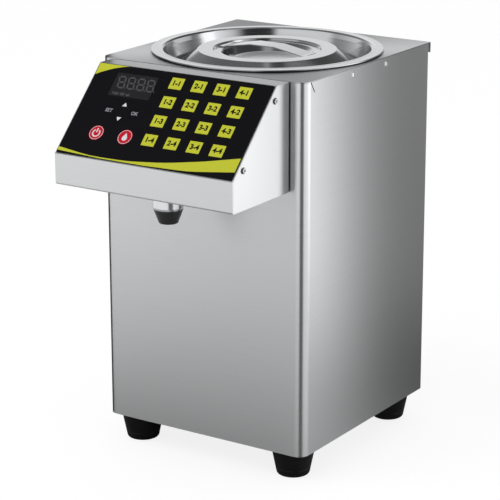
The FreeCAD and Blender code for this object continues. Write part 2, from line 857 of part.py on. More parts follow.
stud_drops = [dim.board_end_gap + dim.stud_inset, slope_length - dim.board_end_gap - dim.stud_inset]
studs = [(x, -drop) for x in (stud_x, -stud_x) for drop in stud_drops] + [(0, -stud_drops[1])]
pad(face, "XY_Plane", [Round(x, y, dim.stud_radius) for x, y in studs], dim.module_depth + skin / 2,
    lift=-(skin / 2), back=True, at=slope_at)
display_x = box_width * dim.display_x_share
display_y = -(slope_length * dim.display_drop_share)
module_width = dim.display_width - dim.module_margin * 2
module_height = dim.display_height - dim.module_margin * 2
pocket(face, "XY_Plane", [
    rectangle(display_x, display_y, module_width, module_height),
], skin * 3, at=slope_at)
keep("control_box_front", face)

tray = body_for("control_box_tray")
nozzle_y = front - dim.nozzle_reach
pad(tray, "YZ_Plane", [[
    (front, roof - skin),
    (*under_top, bend),
    (*behind_lip, bend),
    (lip_y + skin, box_floor),
    (front, box_floor),
]], box_width, side="Symmetric")
pocket(tray, "YZ_Plane", [[
    (front - skin, roof + dim.overrun),
    (lip_y - dim.overrun, roof + dim.overrun),
    (lip_y - dim.overrun, box_floor + skin),
    (front - skin, box_floor + skin),
]], box_width - skin * 2)
frame_low, frame_high = box_floor + dim.box_frame_width, roof - skin - dim.box_frame_width
pocket(tray, "XZ_Plane", [
    rectangle(0, (frame_low + frame_high) / 2, box_width - dim.box_frame_width * 2,
              frame_high - frame_low, dim.window_corner),
], skin * 3, lift=-front)
pocket(tray, "XY_Plane", [Round(0, nozzle_y, dim.nozzle_stem_radius + dim.screw_clearance)], skin * 3,
       lift=box_floor)
pocket(tray, "YZ_Plane", [Round(y, z, screw_hole) for y, z in box_screws], box_width + dim.overrun)
keep("control_box_tray", tray)

# Keypad. Its pieces are drawn flat, x across and y up the slope, and laid on the slope.
key_places = {}
for column in range(1, 5):
    for line in range(1, 5):
        x = box_width * (dim.key_first_x_share + dim.key_column_shares * (column - 1))
        drop = slope_length * (dim.key_first_drop_share + dim.key_row_shares * (line - 1))
        key_places[f"dose_key_{column}_{line}"] = (x, -drop)
small_keys = {
    "up_key": (box_width * dim.arrow_key_x_share, -(slope_length * dim.up_key_drop_share)),
    "down_key": (box_width * dim.arrow_key_x_share, -(slope_length * dim.down_key_drop_share)),
    "set_key": (box_width * dim.set_key_x_share, -(slope_length * dim.side_key_drop_share)),
    "enter_key": (box_width * dim.enter_key_x_share, -(slope_length * dim.side_key_drop_share)),
}
round_keys = {
    "power_key": (box_width * dim.power_key_x_share, -(slope_length * dim.round_key_drop_share)),
    "rinse_key": (box_width * dim.rinse_key_x_share, -(slope_length * dim.round_key_drop_share)),
}


def key_loops(gap):
    """Outlines of all keys, larger than the keys by a gap all round."""
    loops = {}
    for name, (x, y) in key_places.items():
        loops[name] = rectangle(x, y, dim.key_width + gap * 2, dim.key_height + gap * 2, dim.key_corner + gap)
    for name, (x, y) in small_keys.items():
        loops[name] = rectangle(x, y, dim.small_key_width + gap * 2, dim.small_key_height + gap * 2,
                                dim.small_key_corner + gap)
    for name, (x, y) in round_keys.items():
        loops[name] = Round(x, y, dim.round_key_radius + gap)
    return loops


def on_slope(item):
    return place(item, 0, slope_y, roof, slope_angle)


overlay = body_for("membrane_overlay")
overlay_width = box_width - dim.overlay_side_margin * 2
overlay_length = slope_length - dim.overlay_top_margin - dim.overlay_low_margin
overlay_middle = -(dim.overlay_top_margin + overlay_length / 2)
pad(overlay, "XY_Plane", [
    rectangle(0, overlay_middle, overlay_width, overlay_length, dim.overlay_corner),
], dim.overlay_gauge)
for loop in key_loops(dim.key_gap).values():
    pocket(overlay, "XY_Plane", [loop], dim.overlay_gauge * 3)
pane_gap = dim.key_gap * 2
pocket(overlay, "XY_Plane", [
    rectangle(display_x, display_y, dim.display_width + pane_gap, dim.display_height + pane_gap),
], dim.overlay_gauge * 3)
keep("membrane_overlay", on_slope(overlay))

for name, loop in key_loops(dim.key_gap * 0).items():
    key = body_for(name)
    pad(key, "XY_Plane", [loop], dim.key_gauge, lift=dim.overlay_gauge - dim.key_gauge)
    keep(name, on_slope(key))

pane = body_for("display_window")
pad(pane, "XY_Plane", [
    rectangle(display_x, display_y, dim.display_width, dim.display_height),
], dim.overlay_gauge)
keep("display_window", on_slope(pane))

# Display module and circuit board, held on welded studs behind the slope
module = body_for("display_module")
module_gap = dim.module_gap * 2
board_face = -(skin + dim.module_depth)
pad(module, "XY_Plane", [
    rectangle(display_x, display_y, module_width - module_gap, module_height - module_gap),
], -(board_face + dim.module_gap), lift=board_face)
keep("display_module", on_slope(module))

board = body_for("keypad_board")
board_back = board_face - dim.board_gauge
pad(board, "XY_Plane", [
    rectangle(0, -(slope_length / 2), board_width, board_height, dim.board_corner),
], dim.board_gauge, lift=board_back)
pad(board, "XY_Plane", [
    rectangle(dim.relay_x + dim.relay_pitch * step, -dim.relay_drop, dim.relay_width, dim.relay_length)
    for step in range(3)
], dim.relay_height, lift=board_back, back=True)
pad(board, "XY_Plane", [
    rectangle(-dim.relay_x, -dim.relay_drop, dim.relay_length, dim.relay_length),
], dim.chip_height, lift=board_back, back=True)
keep("keypad_board", on_slope(board))

# Tank: deep drawn, hung by its flange in the top cover, with a bottom that falls to a flat
# land round the outlet. Heights are measured from the top cover's face.
tank = body_for("tank")
wall = dim.tank_gauge
tank_flange = tank_radius + dim.tank_flange_width
tank_low = -(tank_depth + dim.tank_fall)
turn(tank, [
    (dim.outlet_hole_radius, tank_low - wall),
    (dim.outlet_land_radius, tank_low - wall),
    (tank_outer, -tank_depth - wall, dim.tank_heel + wall),
    (tank_outer, 0),
    (tank_flange, 0),
    (tank_flange, wall),
    (tank_radius, wall),
    (tank_radius, -tank_depth, dim.tank_heel),
    (dim.outlet_land_radius, tank_low),
    (dim.outlet_hole_radius, tank_low),
])
keep("tank", place(tank, 0, tank_y, roof))


def ring(name, inner_radius, outer_radius, height, z):
    """A plain ring about the tank's axis."""
    made = body_for(name)
    pad(made, "XY_Plane", [Round(0, 0, outer_radius), Round(0, 0, inner_radius)], height)
    return keep(name, place(made, 0, tank_y, z))


gasket_z = roof + wall
gasket_inner = tank_radius + dim.gasket_setback
ring("tank_gasket", gasket_inner, gasket_inner + dim.gasket_width, dim.gasket_gauge, gasket_z)
heater_z = roof - tank_depth + dim.tank_heel + dim.heater_above_heel
ring("heater_band", heater_inner, heater_inner + dim.heater_gauge, dim.heater_height, heater_z)
sleeve_z = roof - tank_depth + dim.tank_heel
ring("insulation_sleeve", sleeve_inner, sleeve_radius,
     tank_depth - dim.tank_heel - dim.sleeve_top_gap, sleeve_z)

# Lid: one spun sheet. From the rim inwards: a turned down edge, a raised crest, a wall, a
# trough, a cone, a flat plateau, a step down to a ledge, and a bowl for the fingers.
lid_z = gasket_z + dim.gasket_gauge
sheet_lid = dim.lid_gauge
rim_radius = tank_radius + dim.lid_overlap
crest_radius = tank_radius - dim.lid_wall_setback
trough_radius = tank_radius - dim.lid_trough_setback
plateau_radius = trough_radius - dim.lid_cone_run
step_radius = plateau_radius - dim.lid_plateau_width
bowl_radius = step_radius - dim.lid_ledge_width
fold = dim.lid_round


def sheet_shift(lean):
    """How far a leaning wall's far side moves sideways when flats move down by the gauge."""
    return sheet_lid * (root(1 + lean * lean) - lean)


wall_shift = sheet_shift(dim.lid_wall_draft / (dim.lid_trough_depth + dim.lid_crest_rise))
cone_shift = -sheet_shift(dim.lid_cone_run / (dim.lid_trough_depth - dim.lid_plateau_drop))
step_shift = sheet_shift(dim.lid_step_draft / dim.lid_step_depth)
bowl_shift = sheet_shift(dim.lid_bowl_draft / dim.lid_bowl_depth)
crest_z = sheet_lid + dim.lid_crest_rise
trough_z = sheet_lid - dim.lid_trough_depth
plateau_z = sheet_lid - dim.lid_plateau_drop
ledge_z = plateau_z - dim.lid_step_depth
bowl_z = ledge_z - dim.lid_bowl_depth
skirt_z = sheet_lid - dim.lid_skirt
rise_r = crest_radius + fold * 2
upper = [
    (crest_radius, crest_z, fold, wall_shift),
    (crest_radius - dim.lid_wall_draft, trough_z, fold, wall_shift),
    (trough_radius, trough_z, fold, cone_shift),
    (plateau_radius, plateau_z, fold, cone_shift),
    (step_radius, plateau_z, dim.lid_step_round, step_shift),
    (step_radius - dim.lid_step_draft, ledge_z, dim.lid_step_round, step_shift),
    (bowl_radius, ledge_z, fold, bowl_shift),
    (bowl_radius - dim.lid_bowl_draft, bowl_z, fold, bowl_shift),
]
bulges_up = [True, False, False, True, True, False, True, False]
over = [(radius, z, bow) for radius, z, bow, _ in upper]
under = [
    (radius + shift, z - sheet_lid, bow - sheet_lid if bulge else bow + sheet_lid)
    for (radius, z, bow, shift), bulge in zip(upper, bulges_up)
]
lid = body_for("lid_pan")
turn(lid, [
    (rim_radius, skirt_z),
    (rim_radius, sheet_lid, dim.lid_edge_round),
    (rise_r, sheet_lid),
    *over,
    (0, bowl_z),
    (0, bowl_z - sheet_lid),
    *reversed(under),
    (rise_r, 0),
    (rim_radius - sheet_lid, 0),
    (rim_radius - sheet_lid, skirt_z),
])
keep("lid_pan", place(lid, 0, tank_y, lid_z))

# Strap handle: a low arch across the bowl, its two feet spot welded to the ledge
strap = body_for("lid_handle")
strap_reach = bowl_radius + dim.strap_lap
strap_span = strap_reach - dim.strap_foot
apex = dim.strap_rise * 2
strap_slope = root(strap_span * strap_span + apex * apex)
arch = strap_slope * (strap_span / apex) * dim.strap_arch_share
gauge = dim.strap_gauge
pad(strap, "XZ_Plane", [[
    (-strap_reach, ledge_z),
    (-strap_span, ledge_z),
    (0, ledge_z + apex, arch),
    (strap_span, ledge_z),
    (strap_reach, ledge_z),
    (strap_reach, ledge_z + gauge),
    (strap_span, ledge_z + gauge),
    (0, ledge_z + apex + gauge, arch + gauge),
    (-strap_span, ledge_z + gauge),
    (-strap_reach, ledge_z + gauge),
]], dim.strap_width, side="Symmetric")
keep("lid_handle", place(strap, 0, tank_y, lid_z))

# Barbed tails that the hoses push onto, and the hoses' own sizes
hose_bore = dim.barb_radius + dim.barb_crest + dim.hose_gap
hose_radius = hose_bore + dim.hose_wall
clamp_bore = hose_radius + dim.hose_gap
clamp_radius = clamp_bore + dim.clamp_gauge
barbs = 3
tail_length = dim.barb_pitch * barbs


def barbed(z, way):
    """Outer points of a barbed tail that starts at z and runs up (1) or down (-1)."""
    points = []
    for step in range(barbs):
        points += [
            (dim.barb_radius, z + dim.barb_pitch * (step * way)),
            (dim.barb_radius + dim.barb_crest, z + dim.barb_pitch * (step * way)),
        ]
    return points + [(dim.barb_radius, z + dim.barb_pitch * (barbs * way))]


# Outlet fitting in the tank's bottom, with its lock nut
fitting = body_for("outlet_fitting")
outlet_z = roof + tank_low
stem = dim.outlet_hole_radius - dim.screw_clearance
stem_low = -(wall + dim.fitting_nut_height + dim.overrun)
turn(fitting, [
    (dim.bore_radius, dim.fitting_flange_gauge),
    (dim.fitting_flange_radius, dim.fitting_flange_gauge),
    (dim.fitting_flange_radius, 0),
    (stem, 0),
    (stem, stem_low),
    *barbed(stem_low, -1),
    (dim.bore_radius, stem_low - tail_length),
])
keep("outlet_fitting", place(fitting, 0, tank_y, outlet_z))
outlet_nut = hex_nut("outlet_nut", dim.fitting_nut_radius, dim.outlet_hole_radius, dim.fitting_nut_height)
place(outlet_nut, 0, tank_y, outlet_z - wall - dim.fitting_nut_height)

# Nozzle: a turned body clamped through the tray's floor, with a black cone below
nozzle = body_for("nozzle_body")
stem_top = dim.nozzle_stem_length
spigot_hole = dim.cone_spigot_radius + dim.shaft_gap
spigot_top = dim.cone_spigot_length + dim.shaft_gap - dim.nozzle_length
turn(nozzle, [
    (dim.bore_radius, spigot_top),
    (spigot_hole, spigot_top),
    (spigot_hole, -dim.nozzle_length),
    (dim.nozzle_radius, -dim.nozzle_length, dim.nozzle_edge),
    (dim.nozzle_radius, 0),
    (dim.nozzle_stem_radius, 0),
    (dim.nozzle_stem_radius, stem_top),
    *barbed(stem_top, 1),
    (dim.bore_radius, stem_top + tail_length),
])
keep("nozzle_body", place(nozzle, 0, nozzle_y, box_floor))
cone = body_for("nozzle_cone")
turn(cone, [
    (dim.cone_bore_radius, -dim.cone_height),
    (dim.cone_tip_radius, -dim.cone_height, dim.cone_tip_round),
    (dim.nozzle_radius, 0),
    (dim.cone_spigot_radius, 0),
    (dim.cone_spigot_radius, dim.cone_spigot_length),
    (dim.cone_bore_radius, dim.cone_spigot_length),
])
keep("nozzle_cone", place(cone, 0, nozzle_y, box_floor - dim.nozzle_length))
nozzle_nut = hex_nut("nozzle_nut", dim.nozzle_nut_radius, dim.nozzle_stem_radius + dim.screw_clearance,
                     dim.nozzle_nut_height)
place(nozzle_nut, 0, nozzle_y, box_floor + skin)
set_of("lock_nuts", [outlet_nut, nozzle_nut])

# Gear pump. Its pieces are drawn facing the front: x to the right, y up, z towards the
# front, with zero on the drive shaft's axis at the bracket's front face.
tooth = dim.gear_module
gear_centres = tooth * dim.gear_teeth
pitch_radius = gear_centres / 2
tip_radius = pitch_radius + tooth * dim.gear_addendum_share
root_radius = pitch_radius - tooth * dim.gear_dedendum_share
chamber_radius = tip_radius + dim.gear_tip_gap
chamber_depth = dim.gear_width + dim.gear_side_gap * 2
housing_depth = dim.pump_rear_wall + chamber_depth
pump_width = (chamber_radius + dim.pump_wall) * 2
pump_tall = pump_width + gear_centres
pump_outline = rectangle(0, gear_centres / 2, pump_width, pump_tall, dim.pump_corner)
axis_z = floor_top + dim.pump_axis_height
journal = dim.shaft_radius + dim.shaft_gap
corner_x = pump_width / 2 - dim.pump_screw_inset
corner_y = pump_tall / 2 - dim.pump_screw_inset
pump_screws = [(corner_x * a, gear_centres / 2 + corner_y * b) for a in (1, -1) for b in (1, -1)]
quarter = 90


def on_shaft(item):
    return place(item, pump_x, dim.bracket_y, axis_z, quarter)


housing = body_for("pump_housing")
pad(housing, "XY_Plane", [pump_outline], housing_depth)
for y in (gear_centres * 0, gear_centres):
    pocket(housing, "XY_Plane", [Round(0, y, chamber_radius)], chamber_depth * 2, lift=housing_depth)
pocket(housing, "XY_Plane", [Round(0, 0, journal)], dim.pump_rear_wall * 3)
pocket(housing, "XY_Plane", [Round(0, gear_centres, journal)], dim.shaft_end * 2, lift=dim.pump_rear_wall)
port_z = dim.pump_rear_wall + chamber_depth / 2
pocket(housing, "YZ_Plane", [Round(gear_centres / 2, port_z, dim.bore_radius)], pump_width + dim.overrun)
pocket(housing, "XY_Plane", [Round(x, y, screw_hole) for x, y in pump_screws], dim.shaft_end * 4,
       lift=housing_depth)
keep("pump_housing", on_shaft(housing))

pump_lid = body_for("pump_cover")
pad(pump_lid, "XY_Plane", [pump_outline], dim.pump_cover_gauge, lift=housing_depth)
pocket(pump_lid, "XY_Plane", [Round(0, 0, journal), Round(0, gear_centres, journal)],
       (dim.shaft_end + dim.gear_side_gap) * 2, lift=housing_depth)
pocket(pump_lid, "XY_Plane", [Round(x, y, screw_hole) for x, y in pump_screws], dim.pump_cover_gauge * 3,
       lift=housing_depth)
keep("pump_cover", on_shaft(pump_lid))


def involute_gear(first_tooth):
    """A spur gear's blank: involute flanks between the root and tip circles, extruded.

    A flank is the path of the end of a string that unwinds from the base circle, turned so
    that each tooth keeps its share of the pitch on the pitch circle.
    """
    teeth = int(dim.gear_teeth)
    pressure = math.radians(20)
    base = pitch_radius * math.cos(pressure)
    step = 2 * math.pi / teeth
    half_tooth = step * dim.gear_thickness_share / 2

    def unwound(radius):
        roll = math.sqrt(max(radius * radius / (base * base) - 1, 0))
        return roll - math.atan(roll)

    def at(radius, angle):
        return Vector(radius * math.cos(angle), radius * math.sin(angle), 0)

    low = max(base, root_radius)
    heights = [low + (tip_radius - low) * share for share in (0, 0.15, 0.4, 0.7, 1)]
    edges = []
    for index in range(teeth):
        middle = first_tooth + index * step
        lean = [half_tooth + unwound(pitch_radius) - unwound(radius) for radius in heights]
        rising = [at(radius, middle - turned) for radius, turned in zip(heights, lean)]
        falling = [at(radius, middle + turned) for radius, turned in zip(reversed(heights), reversed(lean))]
        foot_in = at(root_radius, middle - lean[0])
        foot_out = at(root_radius, middle + lean[0])
        next_in = at(root_radius, middle + step - lean[0])
        up, down = Part.BSplineCurve(), Part.BSplineCurve()
        up.interpolate(rising)
        down.interpolate(falling)
        edges += [
            Part.LineSegment(foot_in, rising[0]).toShape(),
            up.toShape(),
            Part.Arc(rising[-1], at(tip_radius, middle), falling[0]).toShape(),
            down.toShape(),
            Part.LineSegment(falling[-1], foot_out).toShape(),
            Part.Arc(foot_out, at(root_radius, middle + step / 2), next_in).toShape(),
        ]
    return Part.Face(Part.Wire(edges)).extrude(Vector(0, 0, dim.gear_width))


gear_z = dim.pump_rear_wall + dim.gear_side_gap
shaft_top = housing_depth + dim.shaft_end
up_tooth = math.pi / 2
half_step = math.pi / dim.gear_teeth


def gear_on_shaft(name, first_tooth, y, shaft_low, socket_radius=0):
    """A gear and its shaft, in one piece, with a socket in the shaft's rear end if asked."""
    solid = involute_gear(first_tooth)
    solid.translate(Vector(0, 0, gear_z))
    solid = solid.fuse(Part.makeCylinder(dim.shaft_radius, shaft_top - shaft_low, Vector(0, 0, shaft_low)))
    if socket_radius:
        solid = solid.cut(Part.makeCylinder(socket_radius, dim.socket_depth, Vector(0, 0, shaft_low)))
    gear = doc.addObject("Part::Feature", name)
    solid.translate(Vector(0, y, 0))
    gear.Shape = solid.removeSplitter()
    return keep(name, on_shaft(gear))


motor_socket = dim.motor_shaft_radius + dim.shaft_gap
gear_on_shaft("drive_gear", up_tooth, 0, dim.shaft_gap, motor_socket)
idler_low = dim.pump_rear_wall - dim.shaft_end + dim.gear_side_gap
gear_on_shaft("idler_gear", up_tooth + half_step, gear_centres, idler_low)

# Pump ports: a straight barb towards the tank's outlet, and an elbow with an upright barb
port_height = axis_z + gear_centres / 2
port_y = dim.bracket_y - port_z
side_x = pump_width / 2
inlet_port = body_for("inlet_port")
port_boss = dim.barb_pitch
turn(inlet_port, [
    (dim.bore_radius, 0),
    (hose_radius, 0),
    (hose_radius, port_boss),
    *barbed(port_boss, 1),
    (dim.bore_radius, port_boss + tail_length),
])
place(inlet_port, pump_x + side_x, port_y, port_height, quarter, Vector(0, 1, 0))
elbow = body_for("outlet_elbow")
elbow_half = dim.elbow_block / 2
elbow_reach = clamp_radius + dim.elbow_gap
turn(elbow, [
    (0, elbow_half - dim.barb_crest),
    (dim.barb_radius, elbow_half - dim.barb_crest),
    *barbed(elbow_half, 1),
    (0, elbow_half + tail_length),
])
pad(elbow, "XY_Plane", [
    rectangle((elbow_reach - elbow_half) / 2, 0, elbow_reach + elbow_half, dim.elbow_block, dim.barb_crest),
], dim.elbow_block, side="Symmetric")
pocket(elbow, "XY_Plane", [Round(0, 0, dim.bore_radius)], (elbow_half + tail_length) * 2,
       lift=elbow_half + tail_length)
pocket(elbow, "YZ_Plane", [Round(0, 0, dim.bore_radius)], elbow_reach * 2, lift=elbow_reach)
elbow_x = pump_x - side_x - elbow_reach
place(elbow, elbow_x, port_y, port_height)
set_of("pump_ports", [inlet_port, elbow])

# Motor: a can with a rotor inside, bolted behind the bracket that stands on the base plate
bracket = body_for("motor_bracket")
bracket_top = axis_z + dim.motor_radius + dim.bracket_margin
bracket_back = dim.bracket_y + dim.bracket_gauge
pad(bracket, "XZ_Plane", [
    rectangle(pump_x, (floor_top + bracket_top) / 2, dim.bracket_width, bracket_top - floor_top),
], dim.bracket_gauge, lift=-bracket_back)
foot_y = bracket_back + dim.bracket_foot / 2
pad(bracket, "XY_Plane", [
    rectangle(pump_x, foot_y, dim.bracket_width, dim.bracket_foot),
], dim.bracket_gauge, lift=floor_top)
pocket(bracket, "XZ_Plane", [Round(pump_x, axis_z, dim.shaft_radius * 2)], dim.bracket_gauge * 3,
       lift=-bracket_back)
bracket_screw_x = dim.bracket_width / 2 - dim.bracket_screw_inset
bracket_screws = [(pump_x + bracket_screw_x * side, foot_y) for side in (1, -1)]
pocket(bracket, "XY_Plane", [Round(x, y, screw_hole) for x, y in bracket_screws], dim.bracket_gauge * 3,
       lift=floor_top + dim.bracket_gauge)
keep("motor_bracket", bracket)


def behind_bracket(item):
    return place(item, pump_x, bracket_back, axis_z, quarter)


case = body_for("motor_case")
can, can_wall, can_length = dim.motor_radius, dim.motor_wall, dim.motor_length
turn(case, [
    (motor_socket, 0),
    (can, 0, dim.motor_edge_round),
    (can, -can_length, dim.motor_edge_round),
    (motor_socket, -can_length),
    (motor_socket, can_wall - can_length),
    (can - can_wall, can_wall - can_length),
    (can - can_wall, -can_wall),
    (motor_socket, -can_wall),
])
keep("motor_case", behind_bracket(case))
rotor = body_for("motor_rotor")
rotor_near, rotor_far = -(can_wall + dim.rotor_gap), can_wall + dim.rotor_gap - can_length
motor_shaft_top = dim.bracket_gauge + dim.socket_depth - dim.gear_side_gap
turn(rotor, [
    (0, dim.gear_side_gap - can_length),
    (dim.motor_shaft_radius, dim.gear_side_gap - can_length),
    (dim.motor_shaft_radius, rotor_far),
    (dim.rotor_radius, rotor_far),
    (dim.rotor_radius, rotor_near),
    (dim.motor_shaft_radius, rotor_near),
    (dim.motor_shaft_radius, motor_shaft_top),
    (0, motor_shaft_top),
])
keep("motor_rotor", behind_bracket(rotor))

# Power supply: a closed case on four short feet
supply = body_for("power_supply")
supply_low = floor_top + dim.supply_foot_height
pad(supply, "XY_Plane", [
    rectangle(supply_x, dim.supply_y, dim.supply_width, dim.supply_depth, dim.supply_edge),
], dim.supply_height, lift=supply_low)
supply_foot_x = dim.supply_width / 2 - dim.supply_foot_inset
supply_foot_y = dim.supply_depth / 2 - dim.supply_foot_inset
pad(supply, "XY_Plane", [
    Round(supply_x + supply_foot_x * a, dim.supply_y + supply_foot_y * b, dim.supply_foot_height)
    for a in (1, -1) for b in (1, -1)
], dim.supply_foot_height, lift=floor_top)
vent = pocket(supply, "XY_Plane", [
    rectangle(supply_x, dim.supply_y - dim.supply_vent_pitch * 4, dim.supply_vent_length,
              dim.supply_vent_width),
], dim.supply_edge * 2, lift=supply_low + dim.supply_height)
row_of(supply, [vent], "V_Axis", dim.supply_vent_pitch * 8, 9)
keep("power_supply", supply)

# Power inlet in the rear panel: a moulded frame with the plug's socket below and the well
# of a rocker above. It is drawn facing the rear: y up, z away from the panel's face.
inlet_face = rear + skin


def on_inlet(item):
    return place(item, inlet_x, inlet_face, inlet_z, quarter * 2, Vector(0, 1, 1))


inlet = body_for("inlet_frame")
flange_face = dim.inlet_flange_gauge
pad(inlet, "XY_Plane", [
    rectangle(0, 0, dim.inlet_flange_width, dim.inlet_flange_height, dim.inlet_flange_corner),
], flange_face)
pad(inlet, "XY_Plane", [
    rectangle(0, 0, dim.inlet_body_width, dim.inlet_body_height),
], dim.inlet_body_depth, back=True)
socket_half, socket_tall, cut = dim.socket_width / 2, dim.socket_height / 2, dim.socket_chamfer
pocket(inlet, "XY_Plane", [[
    (-socket_half, -dim.socket_drop - socket_tall),
    (socket_half, -dim.socket_drop - socket_tall),
    (socket_half, -dim.socket_drop + socket_tall - cut),
    (socket_half - cut, -dim.socket_drop + socket_tall),
    (cut - socket_half, -dim.socket_drop + socket_tall),
    (-socket_half, -dim.socket_drop + socket_tall - cut),
]], dim.socket_recess * 2, lift=flange_face)
gap = dim.rocker_gap * 2
pocket(inlet, "XY_Plane", [
    rectangle(0, dim.rocker_rise, dim.rocker_width + gap, dim.rocker_height + gap),
], (dim.rocker_depth + dim.rocker_well) * 2, lift=flange_face)
on_inlet(inlet)
blades = []
socket_floor = flange_face - dim.socket_recess
for x, y in ((dim.blade_spread, -dim.blade_offset), (-dim.blade_spread, -dim.blade_offset),
             (0, dim.blade_offset)):
    blade = body_for("inlet_blade")
    pad(blade, "XY_Plane", [
        rectangle(x, y - dim.socket_drop, dim.blade_gauge, dim.blade_width),
    ], dim.blade_length, lift=socket_floor)
    blades.append(on_inlet(blade))
set_of("power_inlet", [inlet] + blades)

rocker = body_for("power_rocker")
half_rocker = dim.rocker_width / 2
rocker_foot = half_rocker * dim.rocker_taper_share
tilt_rise, foot_rise = half_rocker * dim.rocker_tilt_share, rocker_foot * dim.rocker_tilt_share
crown = flange_face + dim.rocker_crown
pad(rocker, "XZ_Plane", [[
    (-half_rocker, crown + tilt_rise),
    (0, crown - dim.rocker_dip),
    (half_rocker, crown - tilt_rise),
    (rocker_foot, flange_face - dim.rocker_depth - foot_rise),
    (-rocker_foot, flange_face - dim.rocker_depth + foot_rise),
]], dim.rocker_height, lift=-dim.rocker_rise, side="Symmetric")
keep("power_rocker", on_inlet(rocker))

# Machine screws with low pan heads: on the rear panel, the control box's sides, the pump
# cover and the bracket's foot
screws = []


def pan_screw(length):
    """A screw along its own Z axis, with the underside of its head at zero."""
    made = body_for("screw")
    turn(made, [
        (0, -length),
        (dim.screw_shank_radius, -length),
        (dim.screw_shank_radius, 0),
        (dim.screw_head_radius, 0),
        (dim.screw_head_radius, dim.screw_head_height * dim.head_side_share),
        (dim.screw_head_radius * dim.head_top_share, dim.screw_head_height),
        (0, dim.screw_head_height),
    ])
    screws.append(made)
    return made


for x, z in panel_screws:
    place(pan_screw(dim.screw_shank_length), x, rear + skin, z, -quarter)
for y, z in box_screws:
    for side in (1, -1):
        place(pan_screw(dim.screw_shank_length), box_half * side, y, z, quarter * side, Vector(0, 1, 0))
cover_y = dim.bracket_y - housing_depth - dim.pump_cover_gauge
for x, y in pump_screws:
    long_screw = pan_screw(dim.pump_cover_gauge + dim.screw_shank_length)
    place(long_screw, pump_x + x, cover_y, axis_z + y, quarter)
for x, y in bracket_screws:
    place(pan_screw(dim.bracket_gauge), x, y, floor_top + dim.bracket_gauge)
set_of("machine_screws", screws)


# Hoses: straight runs joined by tangent arcs, each as large as its two runs allow
def hose_path(points):
    """The centre line through points, with each corner rounded."""
    edges = []
    here = points[0]
    radii = []
    for before, corner, after in zip(points, points[1:], points[2:]):
        back, ahead = before - corner, after - corner
        reach = ARC_SHARE * min(back.Length, ahead.Length)
        turn_angle = math.pi - back.getAngle(ahead)
        radius = reach / math.tan(turn_angle / 2)
        back.normalize()
        ahead.normalize()
        start, end = corner + back * reach, corner + ahead * reach
        middle_way = (back + ahead).normalize()
        centre = corner + middle_way * (radius / math.cos(turn_angle / 2))
        edges.append(Part.LineSegment(here, start).toShape())
        edges.append(Part.Arc(start, centre - middle_way * radius, end).toShape())
        here = end
        radii.append(round(radius, 1))
    edges.append(Part.LineSegment(here, points[-1]).toShape())
    return Part.Wire(edges), radii


def hose(name, points):
    """A hose with its bore, swept along its path."""
    path, radii = hose_path(points)
    start = points[0]
    along = (points[1] - start).normalize()
    shapes = []
    for radius in (hose_radius, hose_bore):
        circle = Part.Wire(Part.Circle(start, along, radius).toShape())
        shapes.append(path.makePipeShell([circle], True, False))
    made = doc.addObject("Part::Feature", name)
    made.Shape = shapes[0].cut(shapes[1])
    expected = math.pi * (hose_radius * hose_radius - hose_bore * hose_bore) * path.Length
    print(name, "length", round(path.Length, 1), "radii", radii, "volume share",
          round(made.Shape.Volume / expected, 3))
    return keep(name, made)


ARC_SHARE = 0.45
ARCH_SHARE = 0.7
seat = dim.hose_seat
fitting_low = outlet_z + stem_low - seat
port_end = pump_x + side_x + port_boss + seat
hose("suction_hose", [
    Vector(0, tank_y, fitting_low),
    Vector(0, tank_y, port_height),
    Vector(0, port_y, port_height),
    Vector(port_end, port_y, port_height),
])
elbow_top = port_height + elbow_half + seat
nozzle_top = box_floor + stem_top + seat
climb_x = half_width - dim.climb_from_side
climb_y = front + dim.climb_from_front
window_sill = window_z - dim.window_height / 2
window_x = -dim.window_centre_x
hose("delivery_hose", [
    Vector(elbow_x, port_y, elbow_top),
    Vector(elbow_x, port_y, elbow_top + dim.hose_rise),
    Vector(-climb_x, climb_y, elbow_top + dim.hose_rise * 3),
    Vector(dim.climb_lean - climb_x, climb_y, (elbow_top + window_sill) / 2),
    Vector(-climb_x, climb_y, window_sill - dim.hose_rise),
    Vector(window_x - dim.climb_lean * 3, climb_y - dim.climb_lean * 2, window_z + dim.climb_lean),
    Vector(window_x * ARCH_SHARE, (front + nozzle_y) / 2, nozzle_top + dim.hose_arch),
    Vector(0, nozzle_y, nozzle_top + dim.hose_arch),
    Vector(0, nozzle_y, nozzle_top),
])

# Hose clamps: a thin band with a folded ear, one at each hose end
clamps = []
for x, y, z, tilt, about in (
    (0, tank_y, fitting_low - dim.clamp_setback - dim.clamp_width, 0, Vector(0, 0, 1)),
    (port_end + dim.clamp_setback, port_y, port_height, quarter, Vector(0, 1, 0)),
    (elbow_x, port_y, elbow_top + dim.clamp_setback, 0, Vector(0, 0, 1)),
    (0, nozzle_y, nozzle_top + dim.clamp_setback, 0, Vector(0, 0, 1)),
):
    clamp = body_for("hose_clamp")
    pad(clamp, "XY_Plane", [rectangle(0, clamp_bore + dim.clamp_ear / 2, dim.clamp_ear, dim.clamp_ear)],
        dim.clamp_width)
    pad(clamp, "XY_Plane", [Round(0, 0, clamp_radius)], dim.clamp_width)
    pocket(clamp, "XY_Plane", [Round(0, 0, clamp_bore)], dim.clamp_width * 3)
    clamps.append(place(clamp, x, y, z, tilt, about))
set_of("hose_clamps", clamps)

# Every object has to be sound before anything is written
doc.recompute()
for item in doc.Objects:
    if "Invalid" in item.State or "Error" in item.State:
        raise RuntimeError(f"{item.Label} failed: {item.State}")
for name, item in nodes.items():
    if item.Shape.isNull() or not item.Shape.isValid() or not item.Shape.Solids:
        raise RuntimeError(f"{name} is not a sound solid")
os.makedirs("parts", exist_ok=True)
for name, item in nodes.items():
    item.Shape.exportStep(f"parts/{name}.step")
print(len(nodes), "nodes,", sum(len(item.Shape.Solids) for item in nodes.values()), "solids")
